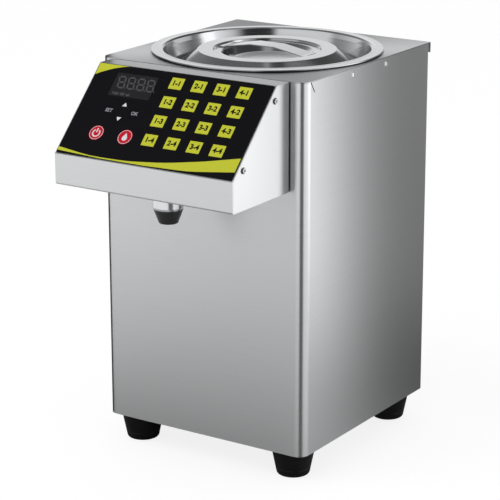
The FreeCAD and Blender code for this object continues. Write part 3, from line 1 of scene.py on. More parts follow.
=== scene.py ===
import math

import bmesh
import bpy
from mathutils import Matrix, Vector


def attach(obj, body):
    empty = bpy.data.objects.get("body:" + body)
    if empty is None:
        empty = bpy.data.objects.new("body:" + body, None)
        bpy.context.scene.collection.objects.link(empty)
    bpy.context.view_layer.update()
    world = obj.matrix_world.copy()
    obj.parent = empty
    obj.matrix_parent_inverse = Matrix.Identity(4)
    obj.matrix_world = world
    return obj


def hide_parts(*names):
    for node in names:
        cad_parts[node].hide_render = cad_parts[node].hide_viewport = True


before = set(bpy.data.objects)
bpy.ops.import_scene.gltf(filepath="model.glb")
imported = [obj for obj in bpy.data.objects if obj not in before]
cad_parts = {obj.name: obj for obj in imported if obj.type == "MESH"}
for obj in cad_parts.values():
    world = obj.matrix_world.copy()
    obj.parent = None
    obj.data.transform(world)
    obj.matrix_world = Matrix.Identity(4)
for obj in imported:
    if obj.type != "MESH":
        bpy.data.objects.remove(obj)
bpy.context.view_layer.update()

# Camera: a long lens in front of the right-hand corner, a little above the roof, level but for
# a hair of roll. It looks at a point inside the cabinet and is then slid sideways and down.
azimuth, pitch, roll = math.radians(33.351), math.radians(16.567), math.radians(-0.0975)
ahead = Vector((-math.sin(azimuth) * math.cos(pitch), math.cos(azimuth) * math.cos(pitch), -math.sin(pitch)))
level = Vector((math.cos(azimuth), math.sin(azimuth), 0))
upright = level.cross(ahead)
right = level * math.cos(roll) + upright * math.sin(roll)
up = upright * math.cos(roll) - level * math.sin(roll)
camera_data = bpy.data.cameras.new("studio_camera")
camera_data.lens = 151.908
camera_data.sensor_width = 36
camera_data.clip_start, camera_data.clip_end = 0.05, 50
camera = bpy.data.objects.new("studio_camera", camera_data)
camera.matrix_world = Matrix((right, up, -ahead)).transposed().to_4x4()
aim, distance, slide, sink = Vector((0, 0.0436, 0.217)), 2.053455, 0.016526, 0.032608
camera.location = aim - ahead * distance - right * slide - up * sink
bpy.context.collection.objects.link(camera)
bpy.context.scene.camera = camera
bpy.context.scene.view_settings.view_transform = "Standard"


# Floor and daylight: a white table top in a white tent, whose roof is grey. Steel mirrors its
# walls as white and dark by their bearing, and the table with a painted shade that darkens it near
# the machine's foot. Dull surfaces get a little less of the tent's light, so that the lamp gives shape.
def add_node(tree, kind, inputs=None, **settings):
    """Adds one node with its settings. An input takes a value, or another node's output."""
    made = tree.nodes.new(kind)
    for name, value in settings.items():
        setattr(made, name, value)
    for name, value in (inputs or {}).items():
        if isinstance(value, bpy.types.NodeSocket):
            tree.links.new(value, made.inputs[name])
        else:
            made.inputs[name].default_value = value
    return made


def linear(colour):
    """The linear colour of an sRGB hex value."""
    parts = [int(colour[i:i + 2], 16) / 255 for i in (1, 3, 5)]
    return [p / 12.92 if p <= 0.04045 else ((p + 0.055) / 1.055) ** 2.4 for p in parts] + [1]


def new_material(name, **sockets):
    """A material with its shader, and the object's own coordinates in metres."""
    made = bpy.data.materials.new(name)
    made.use_nodes = True
    tree = made.node_tree
    tree.nodes.clear()
    shader = add_node(tree, "ShaderNodeBsdfPrincipled")
    for socket, value in sockets.items():
        shader.inputs[socket.replace("_", " ")].default_value = value
    add_node(tree, "ShaderNodeOutputMaterial", {"Surface": shader.outputs[0]})
    return made, tree, shader, add_node(tree, "ShaderNodeTexCoord").outputs["Object"]


def set_tones(ramp, tones):
    """Sets a ramp's grey stops, each given as its place and its level."""
    ramp.elements.remove(ramp.elements[1])
    for place, level in tones:
        stop = ramp.elements[0] if place == tones[0][0] else ramp.elements.new(place)
        stop.position, stop.color = place, (level, level, level, 1)


def by_bearing(tree, east, north, tones):
    """Grey levels by the bearing of a direction, in degrees from +X towards +Y."""
    turn = add_node(tree, "ShaderNodeMath", {0: north, 1: east}, operation="ARCTAN2")
    turn = add_node(tree, "ShaderNodeMapRange", {
        "Value": turn.outputs[0], "From Min": -math.pi, "From Max": math.pi})
    made = add_node(tree, "ShaderNodeValToRGB", {"Fac": turn.outputs[0]})
    set_tones(made.color_ramp, [((degrees + 180) / 360, level) for degrees, level in tones])
    return made.outputs[0]


def mirrored_rays(tree):
    """The light path's outputs, and one that is 1 for what gloss or glass shows."""
    path = add_node(tree, "ShaderNodeLightPath").outputs
    either = {0: path["Is Glossy Ray"], 1: path["Is Transmission Ray"]}
    return path, add_node(tree, "ShaderNodeMath", either, operation="MAXIMUM").outputs[0]


world = bpy.data.worlds.new("white_tent")
bpy.context.scene.world = world
world.use_nodes = True
sky = world.node_tree
sky.nodes.clear()
path, mirrored = mirrored_rays(sky)
east, north, height = add_node(sky, "ShaderNodeSeparateXYZ", {
    0: add_node(sky, "ShaderNodeTexCoord").outputs["Generated"]}).outputs
near_black, gap_from, gap_to = 0.03, -57, -29
low_walls = by_bearing(sky, east, north, (
    (-180, 1), (-95, 1), (-85, 1.25), (-65, 1.25), (gap_from, near_black), (gap_to, near_black), (-23, 1.3),
    (14, 1.4), (60, 1), (180, 1)))
high_walls = by_bearing(sky, east, north, (
    (-180, 0.35), (-142, 0.35), (-132, 1), (-70, 1), (-63, 0.04), (-31, 0.04), (-18, 0.8), (5, 1.3), (28, 1),
    (40, 0.12), (100, 0.12), (113, 0.9), (138, 0.9), (146, 0.25), (180, 0.35)))
rise = add_node(sky, "ShaderNodeMapRange", {
    "Value": height, "From Min": 0.03, "From Max": 0.25}, interpolation_type="SMOOTHSTEP")
walls = add_node(sky, "ShaderNodeMix", {"Factor": rise.outputs[0]}, data_type="RGBA")
sky.links.new(low_walls, walls.inputs[6])
sky.links.new(high_walls, walls.inputs[7])
roof_grey, dull_light = 0.5, 0.62
roof = add_node(sky, "ShaderNodeMapRange", {
    "Value": height, "From Min": 0.3, "From Max": 0.85, "To Min": 1, "To Max": roof_grey},
    interpolation_type="SMOOTHSTEP")
tent = add_node(sky, "ShaderNodeMath", {0: roof.outputs[0], 1: walls.outputs[2]}, operation="MULTIPLY")
shown = add_node(sky, "ShaderNodeMath", {0: mirrored, 1: tent.outputs[0]}, operation="MULTIPLY")
shown = add_node(sky, "ShaderNodeMath", {0: path["Is Camera Ray"], 1: shown.outputs[0]}, operation="MAXIMUM")
direct = add_node(sky, "ShaderNodeMath", {0: mirrored, 1: path["Is Camera Ray"]}, operation="MAXIMUM")
dull = add_node(sky, "ShaderNodeMapRange", {"Value": direct.outputs[0], "To Min": dull_light, "To Max": 0})
strength = add_node(sky, "ShaderNodeMath", {0: shown.outputs[0], 1: dull.outputs[0]}, operation="ADD")
glow = add_node(sky, "ShaderNodeBackground", {"Color": linear("#ffffff"), "Strength": strength.outputs[0]})
add_node(sky, "ShaderNodeOutputWorld", {"Surface": glow.outputs[0]})

# White paper: uncoated and matt, so that it keeps the machine's shadow and shows no reflection
table_paper, tree, shader, coords = new_material("white_paper_sweep", Roughness=0.9)
shader.inputs["Base Color"].default_value = linear("#7c7c7c")
shader.inputs["Emission Color"].default_value = linear("#ffffff")
path, mirrored = mirrored_rays(tree)
# Painted shade: the glow that only the steel mirrors is darkened near the machine's front and its right side
front_shade, side_shade, corner_foot = (-0.05, -0.1, 0), (0.2, 0.28, 0), (0.105, -0.062, 0)
before, beside = (
    add_node(tree, "ShaderNodeVectorMath", {0: coords, 1: spot}, operation="DISTANCE").outputs["Value"]
    for spot in (front_shade, side_shade))
away = add_node(tree, "ShaderNodeMath", {0: before, 1: beside}, operation="MINIMUM")
shade = add_node(tree, "ShaderNodeMapRange", {
    "Value": away.outputs[0], "From Min": 0.1, "From Max": 0.95, "To Max": 1.08})
corner = add_node(tree, "ShaderNodeVectorMath", {0: coords, 1: corner_foot}, operation="SUBTRACT")
east, north, _ = add_node(tree, "ShaderNodeSeparateXYZ", {0: corner.outputs[0]}).outputs
# Painted shade: a dark band off the right front corner, on the glow that only the steel mirrors
band = by_bearing(tree, east, north, (
    (-180, 1), (-66, 1), (gap_from, 0.04), (gap_to, 0.04), (-22, 1), (180, 1)))
shade = add_node(tree, "ShaderNodeMath", {0: shade.outputs[0], 1: band}, operation="MULTIPLY")
white_seen = 0.84
seen = add_node(tree, "ShaderNodeMath", {0: path["Is Camera Ray"], 1: white_seen}, operation="MULTIPLY")
# The painted glow, with its painted shade, shows only in gloss; the camera sees an even white
painted_shade_glow = add_node(tree, "ShaderNodeMath", {0: mirrored, 1: shade.outputs[0]}, operation="MULTIPLY")
painted_shade_glow = add_node(tree, "ShaderNodeMath", {0: painted_shade_glow.outputs[0], 1: seen.outputs[0]}, operation="MAXIMUM")
tree.links.new(painted_shade_glow.outputs[0], shader.inputs["Emission Strength"])
reach = 6
table = bpy.data.meshes.new("table_top")
table.from_pydata([(-reach, -reach, 0), (reach, -reach, 0), (reach, reach, 0), (-reach, reach, 0)], [], [(0, 1, 2, 3)])
table.materials.append(table_paper)
table_top = bpy.data.objects.new("table_top", table)
bpy.context.collection.objects.link(table_top)


# Lamp: one soft box over the left shoulder, for shape and shadow on paint and rubber. Steel
# mirrors the tent and the cards instead, so the lamp hides from the camera and from gloss.
lamp = bpy.data.lights.new("lamp_over_left", "AREA")
lamp.shape, lamp.size, lamp.energy = "SQUARE", 1.4, 14
lamp_over_left = bpy.data.objects.new("lamp_over_left", lamp)
lamp_place, lamp_aim = Vector((-1.0, -1.2, 1.7)), Vector((0, 0, 0.2))
lamp_over_left.location = lamp_place
lamp_over_left.rotation_euler = (lamp_aim - lamp_place).to_track_quat("-Z", "Y").to_euler()
lamp_over_left.visible_camera = lamp_over_left.visible_glossy = False
bpy.context.collection.objects.link(lamp_over_left)


# Cards: glowing boards that only the steel mirrors, stood round the machine to shape its metal with
# painted reflections. A graded one behind on the right glows from grey to white, and a dark strip
# draws a painted dark line along the left corner.
def card(name, ends, heights, tones, start=0.0, end=1.0):
    """An upright board over a line on the floor, which glows in painted tones. Its tones run along X
    between a start and an end, and a painted shade darkens it towards the floor."""
    (first, last), (low, high) = ends, heights
    board = bpy.data.meshes.new(name)
    board.from_pydata([(*first, low), (*last, low), (*last, high), (*first, high)], [], [(0, 1, 2, 3)])
    # Card glow: black and matt, glowing with its own painted tones, so that the steel mirrors only these
    paint, tree, shader, coords = new_material(name + "_paint", Roughness=1.0)
    shader.inputs["Base Color"].default_value = linear("#000000")
    shader.inputs["Emission Strength"].default_value = 1.0
    east, _, height = add_node(tree, "ShaderNodeSeparateXYZ", {0: coords}).outputs
    along = add_node(tree, "ShaderNodeMapRange", {"Value": east, "From Min": start, "From Max": end})
    ramp = add_node(tree, "ShaderNodeValToRGB", {"Fac": along.outputs[0]})
    ramp.color_ramp.interpolation = "EASE"
    set_tones(ramp.color_ramp, tones)
    foot = add_node(tree, "ShaderNodeMapRange", {
        "Value": height, "From Max": 0.15, "To Min": 0.45}, interpolation_type="SMOOTHSTEP")
    tone = add_node(tree, "ShaderNodeVectorMath", {0: ramp.outputs[0], 1: foot.outputs[0]}, operation="MULTIPLY")
    tree.links.new(tone.outputs[0], shader.inputs["Emission Color"])
    board.materials.append(paint)
    made = bpy.data.objects.new(name, board)
    made.visible_camera = made.visible_shadow = made.visible_diffuse = made.visible_transmission = False
    bpy.context.collection.objects.link(made)


card("graded_card", [(0.14, 0.25), (1.4, 0.25)], (0, 1.5),
     [(0, 0.22), (0.2, 0.24), (0.4, 0.34), (0.6, 0.8), (0.75, 1.4), (1, 1.75)], 0.16, 0.36)
card("dark_strip_card", [(-0.126, -0.073), (-0.126, -0.036)], (0.02, 0.42), [(0, 0.06), (1, 0.06)])


# Base plate: a shallow tray of galvanised steel sheet, folded up inside the foot of the
# cabinet, with cooling slots under the motor. The feet are bolted to it.
def finish_nodes(material, *names):
    """Gives solids of the frame, whose shapes are right as they are, their material."""
    for name in names:
        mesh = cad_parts[name].data
        mesh.materials.clear()
        mesh.materials.append(material)


def tint(tree, shader, pattern, low, high, dullness=None):
    """Lets a pattern carry the colour from one hex value to another, and the roughness too."""
    tone = add_node(tree, "ShaderNodeMix", {"Factor": pattern}, data_type="RGBA")
    tone.inputs[6].default_value, tone.inputs[7].default_value = linear(low), linear(high)
    tree.links.new(tone.outputs[2], shader.inputs["Base Color"])
    if dullness:
        least, most = dullness
        gloss = add_node(tree, "ShaderNodeMapRange", {"Value": pattern, "To Min": least, "To Max": most})
        tree.links.new(gloss.outputs[0], shader.inputs["Roughness"])


# Galvanised sheet: hot dipped zinc, dull, in patches of crystals a few millimetres wide
galvanised, tree, shader, coords = new_material("galvanised_sheet", Metallic=1.0)
crystals = add_node(tree, "ShaderNodeTexVoronoi", {"Vector": coords, "Scale": 190})
tint(tree, shader, crystals.outputs["Color"], "#8f9599", "#b3b8bb")
dullness = add_node(tree, "ShaderNodeMapRange", {
    "Value": crystals.outputs["Distance"], "To Min": 0.38, "To Max": 0.55})
tree.links.new(dullness.outputs[0], shader.inputs["Roughness"])
finish_nodes(galvanised, "base_plate")


# Rubber feet: moulded black rubber cones, wide at the top and rounded at the sole, each held
# up by a zinc plated bolt whose head sits in a well in the sole.
def arc_points(before, here, after, radius):
    """The points that round one corner of an outline."""
    corner = Vector(here[:2])
    back = (Vector(before[:2]) - corner).normalized()
    on = (Vector(after[:2]) - corner).normalized()
    half = math.acos(max(-1, min(1, back.dot(on)))) / 2
    centre = corner + (back + on).normalized() * (radius / math.sin(half))
    first = corner + back * (radius / math.tan(half)) - centre
    last = corner + on * (radius / math.tan(half)) - centre
    steps = max(2, math.ceil((math.pi - half * 2) / math.radians(11)))
    turned = first.angle_signed(last)
    return [centre + Matrix.Rotation(-turned * i / steps, 2) @ first for i in range(steps + 1)]


def outline(points):
    """A closed outline in millimetres; a corner whose third number is a radius is rounded."""
    made = []
    for i, here in enumerate(points):
        if len(here) > 2 and here[2]:
            made += arc_points(points[i - 1], here, points[(i + 1) % len(points)], here[2])
        else:
            made.append(Vector(here[:2]))
    return made


def close_mesh(mesh, crease=32):
    """Merges doubles, turns faces outwards, and shades smooth but for real edges."""
    shape = bmesh.new()
    shape.from_mesh(mesh)
    bmesh.ops.remove_doubles(shape, verts=shape.verts, dist=1e-6)
    bmesh.ops.recalc_face_normals(shape, faces=shape.faces)
    shape.to_mesh(mesh)
    shape.free()
    mesh.shade_smooth()
    mesh.set_sharp_from_angle(angle=math.radians(crease))


def new_piece(name, mesh, material, body="root", crease=32):
    """Closes a mesh, gives it its material and lets it ride on a body of the frame. Its wide
    flat faces keep flat normals beside the narrow rounds of their edges."""
    close_mesh(mesh, crease)
    mesh.materials.clear()
    mesh.materials.append(material)
    piece = bpy.data.objects.new(name, mesh)
    bpy.context.collection.objects.link(piece)
    flat = piece.modifiers.new("flat", "WEIGHTED_NORMAL")
    flat.mode, flat.keep_sharp = "FACE_AREA", True
    evened = bpy.data.meshes.new_from_object(piece.evaluated_get(bpy.context.evaluated_depsgraph_get()))
    piece.modifiers.clear()
    piece.data = evened
    bpy.data.meshes.remove(mesh)
    evened.name = name
    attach(piece, body)
    return piece


def spun(profile, centre, segments=96):
    """A mesh turned from a closed half outline of (radius, height) about an upright axis."""
    points, faces = [], []
    for step in range(segments):
        turned = math.tau * step / segments
        points += [
            (centre[0] + r * math.cos(turned), centre[1] + r * math.sin(turned), centre[2] + z) for r, z in profile
        ]
    count = len(profile)
    for step in range(segments):
        here, there = step * count, (step + 1) % segments * count
        faces += [(here + i, there + i, there + (i + 1) % count, here + (i + 1) % count) for i in range(count)]
    mesh = bpy.data.meshes.new("spun")
    mesh.from_pydata([[c / 1000 for c in p] for p in points], [], faces)
    shape = bmesh.new()
    shape.from_mesh(mesh)
    bmesh.ops.remove_doubles(shape, verts=shape.verts, dist=1e-7)
    bmesh.ops.dissolve_degenerate(shape, edges=shape.edges, dist=1e-7)
    shape.to_mesh(mesh)
    shape.free()
    return mesh


def joined(meshes):
    """One mesh of several."""
    shape = bmesh.new()
    for mesh in meshes:
        shape.from_mesh(mesh)
    made = bpy.data.meshes.new("joined")
    shape.to_mesh(made)
    shape.free()
    return made


# Black rubber: nitrile, moulded, a soft sheen with a fine grain and a little dust in it
rubber, tree, shader, coords = new_material("moulded_nitrile_rubber", Specular_IOR_Level=0.3)
dust = add_node(tree, "ShaderNodeTexNoise", {"Vector": coords, "Scale": 90, "Detail": 5}).outputs[0]
tone = add_node(tree, "ShaderNodeValToRGB", {"Fac": dust})
tone.color_ramp.elements[0].position, tone.color_ramp.elements[1].position = 0.35, 0.75
tone.color_ramp.elements[0].color = linear("#0b0b0c")
tone.color_ramp.elements[1].color = linear("#161618")
tree.links.new(tone.outputs["Color"], shader.inputs["Base Color"])
sheen = add_node(tree, "ShaderNodeMapRange", {"Value": dust, "To Min": 0.36, "To Max": 0.5})
tree.links.new(sheen.outputs["Result"], shader.inputs["Roughness"])
pores = add_node(tree, "ShaderNodeTexNoise", {"Vector": coords, "Scale": 1400}).outputs[0]
skin = add_node(tree, "ShaderNodeBump", {"Height": pores, "Strength": 0.15, "Distance": 0.0002})
tree.links.new(skin.outputs["Normal"], shader.inputs["Normal"])

foot_profile = outline([
    (6, 19), (6, 0, 0.6), (15.4, 0, 3.2), (16.85, 7.1, 0.3), (16.6, 7.6, 0.2), (17.05, 8.1, 0.3), (20.9, 27, 0.4),
    (2.6, 27), (2.6, 19),
])
feet = joined([spun(foot_profile, (x, y, 0), 64) for x in (-87.5, 87.5) for y in (-45.9, 133.6)])
feet = new_piece("feet_of_rubber", feet, rubber, crease=50)
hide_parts("rubber_feet")

# Zinc plate on bolts and nuts: bright, a little blue, with faint clouds of handling
zinc, tree, shader, coords = new_material("bright_zinc_plate", Metallic=1.0)
clouds = add_node(tree, "ShaderNodeTexNoise", {"Vector": coords, "Scale": 240}).outputs[0]
tint(tree, shader, clouds, "#a3a8ae", "#c8cbd0", (0.2, 0.36))
finish_nodes(zinc, "foot_bolts", "lock_nuts", "motor_bracket")


# Cabinet skin: one sheet of stainless steel, brushed level, folded round the front and both
# sides, with a return along each rear edge. A saw cut relieves each top front corner, and two
# windows behind the control box let the hose and the wires through.
def cut_plate(loops, gauge, edge=0.0, place=None):
    """A mesh of a plate cut to outlines in its own plane and softened along its edges. Its
    back lies on the plane and its face a gauge above; place lays it in the object."""
    curve = bpy.data.curves.new("plate", "CURVE")
    curve.dimensions = "2D"
    curve.fill_mode = "BOTH"
    curve.extrude = (gauge / 2 - edge) / 1000
    curve.bevel_depth, curve.bevel_resolution, curve.offset = edge / 1000, 1, -edge / 1000
    for i, loop in enumerate(loops):
        area = sum(a[0] * b[1] - b[0] * a[1] for a, b in zip(loop, [*loop[1:], loop[0]]))
        if (area > 0) == (i > 0):
            loop = loop[::-1]
        spline = curve.splines.new("POLY")
        spline.points.add(len(loop) - 1)
        for point, place_in_plane in zip(spline.points, loop):
            point.co = (place_in_plane[0] / 1000, place_in_plane[1] / 1000, 0, 1)
        spline.use_cyclic_u = True
    holder = bpy.data.objects.new("plate", curve)
    mesh = bpy.data.meshes.new_from_object(holder)
    bpy.data.objects.remove(holder)
    mesh.transform(Matrix.Translation((0, 0, gauge / 2000)))
    if place:
        mesh.transform(place)
    return mesh


def laid(x, y, z, across=(1, 0, 0), upward=(0, 0, 1)):
    """A plane at a place in millimetres, from its own level and rising directions."""
    first, second = Vector(across).normalized(), Vector(upward).normalized()
    made = Matrix((first, second, first.cross(second))).transposed().to_4x4()
    made.translation = Vector((x, y, z)) / 1000
    return made


def box_outline(x, y, width, height, radius=0.0):
    """A rectangle's outline about its centre."""
    left, right_side, low, high = x - width / 2, x + width / 2, y - height / 2, y + height / 2
    return outline([
        (left, low, radius), (right_side, low, radius), (right_side, high, radius), (left, high, radius),
    ])


def circle(x, y, radius, steps=48):
    """A circle's outline about its centre."""
    turns = [math.tau * i / steps for i in range(steps)]
    return [Vector((x + radius * math.cos(turn), y + radius * math.sin(turn))) for turn in turns]


def worked(mesh, cutters=(), union=(), edge=0.0, wall=0.0):
    """A mesh with cutters taken out, others joined on, a wall given, and sharp edges broken."""
    close_mesh(mesh)
    holder = bpy.data.objects.new("work", mesh)
    bpy.context.collection.objects.link(holder)
    others = []
    for kind, group in (("DIFFERENCE", cutters), ("UNION", union)):
        for other in group:
            close_mesh(other)
            tool = bpy.data.objects.new("tool", other)
            bpy.context.collection.objects.link(tool)
            others.append(tool)
            step = holder.modifiers.new(kind, "BOOLEAN")
            step.operation, step.object, step.solver = kind, tool, "EXACT"
    if wall:
        thick = holder.modifiers.new("wall", "SOLIDIFY")
        thick.thickness, thick.offset, thick.use_even_offset = wall / 1000, -1, True
    if edge:
        broken = holder.modifiers.new("edge", "BEVEL")
        broken.width, broken.segments, broken.limit_method = edge / 1000, 2, "ANGLE"
        broken.angle_limit, broken.harden_normals = math.radians(40), False
    seen_now = bpy.context.evaluated_depsgraph_get()
    made = bpy.data.meshes.new_from_object(holder.evaluated_get(seen_now))
    for item in [holder, *others]:
        bpy.data.objects.remove(item)
    return made


# Brushed stainless: type 304 with a number 4 finish, drawn along the sheet. The grit leaves
# fine level scratches that spread reflections up and down; the real ones are a tenth of a
# millimetre apart, and they are drawn about half a millimetre apart so that they show.
def brushed_steel(name, stretch, pale="#dadbdc", dark="#d7d8d9"):
    """Steel whose scratches are a noise that is stretched along the sheet."""
    made, tree, shader, coords = new_material(name, Metallic=1.0, Anisotropic=0.9, Anisotropic_Rotation=0.25)
    lay = add_node(tree, "ShaderNodeMapping", {"Vector": coords, "Scale": stretch})
    scratches = add_node(tree, "ShaderNodeTexNoise", {"Vector": lay.outputs[0], "Scale": 1.0, "Detail": 3.0})
    tone = add_node(tree, "ShaderNodeMapRange", {
        "Value": scratches.outputs[0], "From Min": 0.35, "From Max": 0.65})
    tint(tree, shader, tone.outputs[0], dark, pale, (0.365, 0.355))
    lie = add_node(tree, "ShaderNodeTangent", direction_type="RADIAL", axis="Z")
    tree.links.new(lie.outputs[0], shader.inputs["Tangent"])
    return made


cabinet_steel = brushed_steel("brushed_304_stainless", (12, 12, 1900))
half, front, rear, skin_foot, skin_top = 112.5, -69.4, 157.1, 27, 381
sheet, fold, lap = 1, 10.5, 12
wrap_outline = outline([
    (-half, rear, 0.9), (-half, front, fold), (half, front, fold), (half, rear, 0.9), (half - lap, rear),
    (half - lap, rear - sheet), (half - sheet, rear - sheet), (half - sheet, front + sheet, fold - sheet),
    (-half + sheet, front + sheet, fold - sheet), (-half + sheet, rear - sheet), (-half + lap, rear - sheet),
    (-half + lap, rear),
])
wrap = cut_plate([wrap_outline], skin_top - skin_foot, place=laid(0, 0, skin_foot, upward=(0, 1, 0)))
slit_outline = [Vector(p) for p in ((-60.1, 382), (-58.7, 382), (-51.8, 371.3), (-53.2, 371.3))]
sideways = {"across": (0, 1, 0), "upward": (0, 0, 1)}
slits = [cut_plate([slit_outline], 4, place=laid(x, 0, 0, **sideways)) for x in (-114.5, 110.5)]
windows = [
    cut_plate([box_outline(x, 308, 52, 34, 4)], 6, place=laid(0, front + 3, 0, across=(-1, 0, 0)))
    for x in (-52, 52)
]
rivet_ys, rivet_z = (14, 74.5), 375.1
rivet_holes = [
    cut_plate([circle(y, rivet_z, 1.55, 20)], 6, place=laid(x - 3, 0, 0, **sideways))
    for x in (-half, half) for y in rivet_ys
]
wrap = worked(wrap, [*slits, *windows, *rivet_holes], edge=0.4)
wrap = new_piece("cabinet_skin", wrap, cabinet_steel)
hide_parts("body_wrap")


# Rear panel: a plate of the same steel with a folded hem along its top, held to the cabinet's
# returns by four screws. Two columns of louvres are pressed out of it to cool the motor and
# the power supply, and the power inlet sits in a cut-out below them.
def repeated(name, places, facings, pattern, material, size=1.0):
    """A mesh of one pattern set on every place, its Z axis along that place's facing."""
    if "pieces on points" not in bpy.data.node_groups:
        group = bpy.data.node_groups.new("pieces on points", "GeometryNodeTree")
        for title, kind in (("Points", "Geometry"), ("Pattern", "Object"), ("Size", "Float"), ("Finish", "Material")):
            group.interface.new_socket(title, in_out="INPUT", socket_type="NodeSocket" + kind)
        group.interface.new_socket("Pieces", in_out="OUTPUT", socket_type="NodeSocketGeometry")
        given = add_node(group, "NodeGroupInput").outputs
        facing = add_node(group, "GeometryNodeInputNamedAttribute", {"Name": "facing"}, data_type="FLOAT_VECTOR")
        turned = add_node(group, "FunctionNodeAlignRotationToVector", {"Vector": facing.outputs[0]}, axis="Z")
        one = add_node(group, "GeometryNodeObjectInfo", {"Object": given["Pattern"]})
        spread = add_node(group, "GeometryNodeInstanceOnPoints", {
            "Points": given["Points"], "Instance": one.outputs["Geometry"], "Rotation": turned.outputs[0],
            "Scale": given["Size"]})
        real = add_node(group, "GeometryNodeRealizeInstances", {"Geometry": spread.outputs[0]})
        coat = add_node(group, "GeometryNodeSetMaterial", {
            "Geometry": real.outputs[0], "Material": given["Finish"]})
        add_node(group, "NodeGroupOutput", {"Pieces": coat.outputs[0]})
    group = bpy.data.node_groups["pieces on points"]
    mesh = bpy.data.meshes.new(name)
    mesh.from_pydata([[c / 1000 for c in p] for p in places], [], [])
    facing = mesh.attributes.new("facing", "FLOAT_VECTOR", "POINT")
    facing.data.foreach_set("vector", [c for f in facings for c in f])
    close_mesh(pattern)
    holder, master = bpy.data.objects.new(name, mesh), bpy.data.objects.new("pattern", pattern)
    bpy.context.collection.objects.link(holder)
    bpy.context.collection.objects.link(master)
    step = holder.modifiers.new("pieces", "NODES")
    step.node_group = group
    values = {"Pattern": master, "Size": size, "Finish": material}
    for item in group.interface.items_tree:
        if item.in_out == "INPUT" and item.name in values:
            step[item.identifier] = values[item.name]
    made = bpy.data.meshes.new_from_object(holder.evaluated_get(bpy.context.evaluated_depsgraph_get()))
    bpy.data.objects.remove(holder)
    bpy.data.objects.remove(master)
    return made


# Only the mouth of a louvre is open, along its lower edge; its hood closes on the panel
# above and at both ends. A hood is drawn face up, its upper edge towards -Y, and its foot is
# sunk a little into the panel.
panel_face, seat = rear + sheet, 158
louvre_places = [(x, seat, 237 + 14 * row) for x in (-42, 42) for row in range(6)]
half_span, hood_height, hood_reach, columns, rows = 31, 8, 2.5, 28, 8
hood_points = []
for i in range(columns + 1):
    along = 2 * i / columns - 1
    for j in range(rows + 1):
        swing = math.pi / 2 * j / rows
        out = hood_reach * math.cos(swing) * (1 - abs(along) ** 6) ** 0.5
        hood_points.append((half_span * along / 1000, -hood_height * math.sin(swing) / 1000, out / 1000))
hood = bpy.data.meshes.new("louvre_hood")
hood.from_pydata(hood_points, [], [
    (i * (rows + 1) + j, (i + 1) * (rows + 1) + j, (i + 1) * (rows + 1) + j + 1, i * (rows + 1) + j + 1)
    for i in range(columns) for j in range(rows)
])
hood = worked(hood, wall=0.6)
# Brushed stainless: the same level scratches, on a sheet a shade greyer than the cabinet
panel_steel = brushed_steel("brushed_304_stainless_panel", (12, 12, 1900), pale="#d2d3d5", dark="#cccdcf")
louvres = repeated("louvres", louvre_places, [(0, 1, 0)] * len(louvre_places), hood, panel_steel)
louvres = new_piece("louvres", louvres, panel_steel)
panel_screws = [(x, z) for x in (-106.5, 106.5) for z in (79, 345)]
panel = cut_plate([
    box_outline(0, 203.9, 223, 353.8, 0.6),
    box_outline(-62, 103, 26.8, 50.2, 0.5),
    *[box_outline(x, z + 3.6, 60, 6.4, 0.6) for x, _, z in louvre_places],
    *[circle(x, z, 1.65, 20) for x, z in panel_screws],
], sheet, 0.12, laid(0, rear, 0, across=(-1, 0, 0)))
hem_profile = outline([(seat, 373.8), (159.7, 373.8, 0.6), (159.7, 380.8, 0.6), (seat, 380.8)])
hem = cut_plate([hem_profile], 223, 0.1, laid(-111.5, 0, 0, **sideways))
panel = new_piece("rear_sheet", joined([panel, hem]), panel_steel)
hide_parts("rear_panel")


# Power inlet: a socket and a rocker switch in one moulding, snapped into the rear panel, with
# three nickel plated blades for a mains lead. The rocker is red and tilts about an upright pin.

# Black polycarbonate: moulded against a spark finished tool, so its shine is soft and uneven
inlet_plastic, tree, shader, coords = new_material("moulded_black_polycarbonate", IOR=1.58)
shade = add_node(tree, "ShaderNodeTexNoise", {"Vector": coords, "Scale": 60, "Detail": 3}).outputs[0]
tint(tree, shader, shade, "#141415", "#1d1d1f", (0.3, 0.42))
finish_nodes(inlet_plastic, "power_inlet")

# Red polycarbonate: moulded in a polished tool, glossy, and a little light passes through it
rocker_plastic, tree, shader, coords = new_material("moulded_red_polycarbonate", IOR=1.58, Transmission_Weight=0.12)
shade = add_node(tree, "ShaderNodeTexNoise", {"Vector": coords, "Scale": 220, "Detail": 2}).outputs[0]
tint(tree, shader, shade, "#a5161b", "#bd2026", (0.16, 0.24))
finish_nodes(rocker_plastic, "power_rocker")


# Pump, motor and power supply: a stainless gear pump on a zinc plated bracket, driven by the
# black painted motor behind it, and a supply in a steel mesh case. All stand on the base plate.

# Machined stainless: turned and milled, with even tool marks a third of a millimetre apart
turned_steel, tree, shader, coords = new_material("machined_304_stainless", Metallic=1.0)
marks = add_node(tree, "ShaderNodeTexWave", {"Vector": coords, "Scale": 900, "Distortion": 1.5, "Detail": 2})
tint(tree, shader, marks.outputs[1], "#aeb0b2", "#c4c6c8", (0.2, 0.32))
finish_nodes(turned_steel, "pump_housing", "pump_cover", "pump_ports", "outlet_fitting")

# Hardened steel: hobbed and case hardened, dark grey under a thin uneven film of oil
gear_steel, tree, shader, coords = new_material("hardened_gear_steel", Metallic=1.0)
oil = add_node(tree, "ShaderNodeTexNoise", {"Vector": coords, "Scale": 160, "Detail": 3}).outputs[0]
tint(tree, shader, oil, "#7d7f83", "#9b9da1", (0.22, 0.4))
finish_nodes(gear_steel, "drive_gear", "idler_gear", "motor_rotor")

